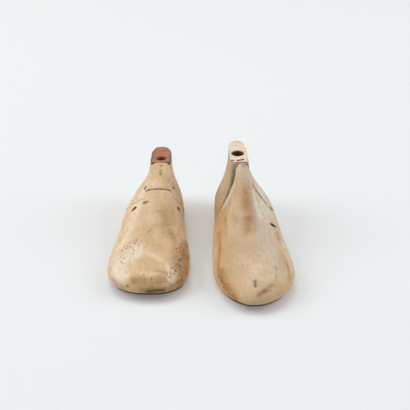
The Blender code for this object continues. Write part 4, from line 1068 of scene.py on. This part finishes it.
def wood_finish(name, light, dark, tones, ring_axis, seed):
    """Fibres, rings and mottling in two colours, then the painted marks: soft ones first, crisp ones on top."""
    finish, shader, place = new_finish(name)
    place = add("Mapping", {"Vector": place, "Location": (seed, 0.0, 0.37 * seed)}).outputs[0]
    broad = noise(place, 30, 4, 0.6, (1.0, 0.5, 1.0), 0.3)
    blotch = noise(place, 100, 5, 0.65)
    mottle = noise(place, 330, 4, 0.7, (1.0, 0.55, 1.0), 0.4)
    streaks = noise(place, 210, 4, 0.65, (1.0, 0.13, 1.0), 0.5)
    fibre = noise(place, 700, 4, 0.6, (1.0, 0.05, 1.0))
    fine = noise(place, 2600, 3, 0.6, (1.0, 0.12, 1.0))
    centred = add("Mapping", {"Vector": place, "Location": ring_axis, "Rotation": (0.05, 0.04, 0.12)}).outputs[0]
    waves = {"Vector": centred, "Scale": 52.0, "Distortion": 3.2, "Detail": 2.5, "Detail Scale": 14.0}
    rings = add("TexWave", waves, wave_type="RINGS", rings_direction="Y").outputs["Fac"]
    marks = {kind: attribute("wood_" + kind) for kind in MARK_KINDS}
    colour = over(light, (broad, 0.3, 0.72, 1.0, dark), (rings, 0.55, 1.0, 0.3, dark))
    ragged = ramp(calc("ADD", blotch, streaks), 0.75, 1.25, 0.55, 1.35)
    for kind in ("grey", "pale", "warm", "brown"):
        colour = mix(calc("MULTIPLY", marks[kind], ragged, clamp=True), colour, tones[kind])
    rough_edge = calc("SUBTRACT", calc("ADD", blotch, mottle), 1.0)
    colour = over(
        colour,
        (mottle, 0.46, 0.70, 0.38, dark),
        (streaks, 0.45, 0.72, 0.4, dark),
        (calc("ADD", marks["white"], rough_edge), 0.12, 0.95, 0.72, tones["white"]),
        (calc("ADD", marks["patch"], rough_edge), 0.3, 0.62, 0.8, tones["patch"]),
        (fibre, 0.42, 0.75, 0.32, dim(dark, 0.6)),
        (fine, 0.66, 0.78, 0.3, FLECK),
    )

    jitter = add("TexNoise", {"Vector": place, "Scale": 900.0, "Detail": 2.0}).outputs["Color"]
    dots = {0: jitter, 1: (0.5, 0.5, 0.5), 2: scaled(place, 620.0, 470.0, 620.0)}
    dots = add("VectorMath", dots, operation="MULTIPLY_ADD").outputs[0]
    dots = add("TexVoronoi", {"Vector": dots, "Scale": 1.0}).outputs
    chance = add("SeparateColor", {"Color": dots["Color"]}).outputs
    beyond = calc("MULTIPLY_ADD", chance["Green"], -0.3, dots["Distance"])
    there = ramp(calc("SUBTRACT", marks["specks"], chance["Red"]), 0.0, 0.1)
    pit = calc("MULTIPLY", ramp(beyond, 0.08, 0.26, 1.0, 0.0), there)

    cells = scaled(place, 290.0, 200.0, 290.0)
    shift = add("TexNoise", {"Vector": cells, "Scale": 1.3, "Detail": 3.0}).outputs["Color"]
    cells = add("VectorMath", {0: cells, 1: shift}, operation="ADD").outputs[0]
    seam = add("TexVoronoi", {"Vector": cells, "Scale": 1.0}, feature="DISTANCE_TO_EDGE").outputs["Distance"]
    open_seam = ramp(calc("MULTIPLY_ADD", marks["cracks"], 0.25, mottle), 0.62, 0.84)
    crack = calc("MULTIPLY", ramp(seam, 0.02, 0.2, 1.0, 0.0), open_seam, clamp=True)
    # Grime marks and the painted shade along the saw gaps darken the wood with the same colour.
    grime = calc("MULTIPLY", marks["grime"], ramp(mottle, 0.3, 0.6, 0.45, 1.2), clamp=True)
    for share, tone in ((calc("MULTIPLY", crack, 0.6), CRACK), (grime, GRIME_AND_SHADE), (calc("MULTIPLY", pit, 0.85), PIT)):
        colour = mix(share, colour, tone)

    first = bump(calc("MULTIPLY_ADD", fine, 0.35, fibre), 0.00012)
    second = bump(calc("MULTIPLY_ADD", mottle, 0.5, blotch), 0.0005, first)
    feed(shader, {
        "Base Color": colour,
        "Roughness": calc("ADD", ramp(broad, 0.3, 0.7, 0.5, 0.66), ramp(fibre, 0.3, 0.8, -0.04, 0.1)),
        "Specular IOR Level": 0.35,
        "Normal": bump(calc("MULTIPLY", calc("MAXIMUM", pit, crack), -1.0), 0.0005, second),
    })
    return finish


# The tones are those of the first six kinds of mark, in their order.
BLOCK_TONES, HINGED_TONES = (dict(zip(MARK_KINDS, table(text).tolist())) for text in (
    "0.88 0.72 0.53, 0.88 0.76 0.6, 0.31 0.135 0.034, 0.4 0.23 0.1, 0.6 0.5 0.39, 0.67 0.45 0.27",
    "0.8 0.64 0.45, 0.8 0.73 0.62, 0.66 0.36 0.125, 0.41 0.17 0.038, 0.62 0.53 0.42, 0.66 0.64 0.47",
))
block_wood, scoop_wood, hinged_wood = (wood_finish(*recipe) for recipe in (
    ("worn_beech_block_last", (0.77, 0.54, 0.315), (0.64, 0.42, 0.215), BLOCK_TONES, (0.05, 0.0, 0.09), 0.0),
    ("worn_beech_scoop_block", (0.77, 0.54, 0.30), (0.64, 0.42, 0.21), BLOCK_TONES, (0.02, 0.0, 0.13), 0.21),
    ("worn_beech_hinged_last", (0.69, 0.50, 0.31), (0.57, 0.385, 0.21), HINGED_TONES, (-0.04, 0.0, 0.08), 0.43),
))
print("wood finishes:", [m.name for m in (block_wood, scoop_wood, hinged_wood)])

# %% [markdown]
# Inside the cuts the wood is paler and a little green from damp, with the saw's strokes across it. The bores are
# dark with old rust.

# %% Sawn and bored wood
LIT_FROM, FULLY_LIT = 70 * MM, 73 * MM


def sawn_finish(name, clean, damp, lit, stroke_depth):
    """Clouded wood with saw strokes across it; high up, where light and dust reach it, it turns to lit."""
    finish, shader, place = new_finish(name)
    cloud = noise(place, 120, 4, 0.6)
    strokes = noise(place, 900, 3, 0.5, (0.06, 1.0, 1.0))
    height = add("SeparateXYZ", {"Vector": place}).outputs["Z"]
    layers = (
        (cloud, 0.35, 0.65, 1.0, damp),
        (height, LIT_FROM, FULLY_LIT, 1.0, lit),
        (strokes, 0.45, 0.75, 0.4, dim(damp, 0.5)),
    )
    feed(shader, {
        "Base Color": over(clean, *layers), "Roughness": ramp(cloud, 0.3, 0.7, 0.7, 0.85),
        "Specular IOR Level": 0.25, "Normal": bump(strokes, stroke_depth),
    })
    return finish


sawn_block, sawn_hinged, bored_wood = (sawn_finish(*recipe) for recipe in (
    ("sawn_beech_block_last", (0.60, 0.44, 0.27), (0.47, 0.34, 0.20), (0.6, 0.43, 0.26), 0.0002),
    ("sawn_beech_hinged_last", (0.55, 0.47, 0.31), (0.38, 0.32, 0.20), (0.66, 0.52, 0.37), 0.0002),
    ("bored_beech", (0.28, 0.165, 0.085), (0.17, 0.095, 0.05), (0.28, 0.165, 0.085), 0.0001),
))
print("inner finishes:", [m.name for m in (sawn_block, sawn_hinged, bored_wood)])

# %% [markdown]
# One top plate is dyed reddish brown, the other raw and pale. Thimbles and pins are dark steel under brown rust.
# The pieces inside the lasts get the same finishes.

# %% Leather, metal and peg finishes
SOIL = (0.075, 0.05, 0.042)


def leather_finish(name, base, shade, scuffed, grain_depth, rough, soil):
    """Clouded leather with scuffs and a fine grain, soiled towards its rim."""
    finish, shader, place = new_finish(name)
    cloud = noise(place, 130, 5, 0.65)
    grain = add("TexVoronoi", {"Vector": place, "Scale": 1500.0}).outputs["Distance"]
    colour = over(
        base,
        (cloud, 0.3, 0.7, 1.0, shade),
        (noise(place, 260, 4, 0.7), 0.58, 0.72, 0.55, scuffed),
        (noise(place, 2400), 0.55, 0.75, 0.35, dim(shade, 0.5)),
        (calc("MULTIPLY_ADD", attribute("rim"), 0.55, cloud), 0.5, 0.95, soil, SOIL),
    )
    feed(shader, {
        "Base Color": colour, "Roughness": ramp(cloud, 0.3, 0.7, rough, rough + 0.14),
        "Normal": bump(calc("MULTIPLY_ADD", cloud, 1.5, grain), grain_depth),
    })
    return finish


def steel_finish(name, bare, rust, dark_rust, rust_from):
    """Bare steel under blooms of crusty rust, which cover more of it the lower they start."""
    finish, shader, place = new_finish(name)
    covered = ramp(noise(place, 420, 6, 0.7), rust_from, rust_from + 0.12)
    crust = noise(place, 1900, 4, 0.65)
    feed(shader, {
        "Base Color": mix(covered, bare, over(rust, (crust, 0.35, 0.65, 1.0, dark_rust))),
        "Metallic": calc("MULTIPLY_ADD", covered, -0.75, 0.85),
        "Roughness": calc("MULTIPLY_ADD", covered, 0.42, 0.42),
        "Normal": bump(calc("ADD", crust, covered), 0.00018),
    })
    return finish


def peg_finish(name, light, dark, darkening):
    """Upright fibres with clouds of dirt."""
    finish, shader, place = new_finish(name)
    fibre, cloud = noise(place, 1300, 4, 0.6, (1.0, 1.0, 0.08)), noise(place, 180, 4)
    feed(shader, {
        "Base Color": over(light, (fibre, 0.3, 0.7, 1.0, dark), (cloud, 0.5, 0.75, 0.5, darkening)),
        "Roughness": ramp(cloud, 0.3, 0.7, 0.55, 0.75), "Normal": bump(fibre, 0.00015),
    })
    return finish


red_leather, cream_leather, torn_leather, sole_leather = (leather_finish(*recipe) for recipe in (
    ("red_leather", (0.43, 0.165, 0.075), (0.24, 0.085, 0.04), (0.44, 0.245, 0.15), 0.00012, 0.55, 0.8),
    ("cream_leather", (0.80, 0.67, 0.53), (0.72, 0.56, 0.41), (0.84, 0.75, 0.64), 0.00008, 0.55, 0.1),
    ("torn_leather", (0.66, 0.31, 0.10), (0.50, 0.21, 0.07), (0.78, 0.48, 0.24), 0.0001, 0.7, 0.0),
    ("sole_leather", (0.115, 0.062, 0.036), (0.06, 0.033, 0.02), (0.2, 0.12, 0.075), 0.00012, 0.55, 0.3),
))
rusty_steel = steel_finish("rusty_steel", (0.10, 0.055, 0.035), (0.27, 0.095, 0.036), (0.10, 0.036, 0.016), 0.22)
dark_steel = steel_finish("dark_steel", (0.26, 0.25, 0.24), (0.16, 0.08, 0.045), (0.06, 0.035, 0.025), 0.5)
dark_peg = peg_finish("dark_peg_wood", (0.46, 0.29, 0.15), (0.27, 0.15, 0.07), (0.13, 0.075, 0.04))
print("finishes in all:", len(bpy.data.materials))

# %% [markdown]
# ## Dressing the frame
# Each new piece takes the place of its CAD node and rides on the same body, so that the block lifts and the heel
# part turns with everything on it. The other pieces keep their CAD shapes and get a better finish.

# %% Dress the pieces
DRESSED = [
    (block_body, "block_last_body", "lasts", "pale_wood", block_wood, sawn_block),
    (scoop_block, "block_last_scoop_block", "lift_off_block", "block_wood", scoop_wood, sawn_block),
    (red_plate, "block_last_top_plate", "lasts", "red_leather", red_leather, None),
    (forepart, "hinged_last_forepart", "lasts", "grey_wood", hinged_wood, sawn_hinged),
    (heel_part, "hinged_last_heel_part", "heel_part", "grey_wood", hinged_wood, sawn_hinged),
    (cream_plate, "hinged_last_top_plate", "heel_part", "cream_leather", cream_leather, torn_leather),
]
for node, plate in plates.items():
    body = "heel_part" if node == "hinged_last_heel_plate" else "lasts"
    DRESSED.append((plate, node, body, "dark_leather", sole_leather, None))
for piece, node, body, slot_name, finish, inside in DRESSED:
    piece.data.materials.clear()
    for material in (finish, inside, bored_wood) if inside else (finish,):
        piece.data.materials.append(material)
    if inside:
        piece.data.polygons.foreach_set("material_index", face_kinds[piece.name])
    if "leather" in slot_name:
        smooth(piece, 40.0)
    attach(piece, body)
    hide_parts(node)
for name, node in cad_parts.items():
    if node.hide_render:
        continue
    wooden = name.endswith(("tongue", "peg"))
    bright = "brad" in name or name.endswith(("nail", "link"))
    node.data.materials.clear()
    node.data.materials.append(dark_peg if wooden else dark_steel if bright else rusty_steel)
print("dressed:", len(DRESSED), "of", len(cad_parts), "nodes")

# %% [markdown]
# ## Floor
# The pair stands on a pale table top, a flat grid that fills the picture. Part of its brightness is a glow that
# only the camera sees, which keeps the shadows at the soles soft.

# %% Lay the floor
FLOOR_COLOUR, GLOW = (0.83, 0.855, 0.86), (0.195, 0.165, 0.152)
FLOOR_HALF, FLOOR_LINES = 3.0, 9
span = np.linspace(-FLOOR_HALF, FLOOR_HALF, FLOOR_LINES)
floor_points = np.stack([*np.meshgrid(span, span, indexing="ij"), np.zeros((FLOOR_LINES, FLOOR_LINES))], axis=-1)
index = np.arange(FLOOR_LINES**2).reshape(FLOOR_LINES, FLOOR_LINES)
floor_faces = np.stack([index[:-1, :-1], index[1:, :-1], index[1:, 1:], index[:-1, 1:]], -1).reshape(-1, 4).tolist()
floor = new_piece("table_top", floor_points, floor_faces)
floor_finish, shader, _ = new_finish("pale_table")
rays = add("LightPath").outputs
seen = calc("MAXIMUM", rays["Is Camera Ray"], rays["Is Glossy Ray"])
seen = calc("MAXIMUM", seen, rays["Is Transmission Ray"])
feed(shader, {
    "Base Color": mix(seen, FLOOR_COLOUR, tuple(c - g for c, g in zip(FLOOR_COLOUR, GLOW))),
    "Emission Color": (*GLOW, 1.0), "Emission Strength": seen, "Roughness": 0.9, "Specular IOR Level": 0.1,
})
floor.data.materials.append(floor_finish)
print("floor in m:", np.round(floor.dimensions, 1).tolist())
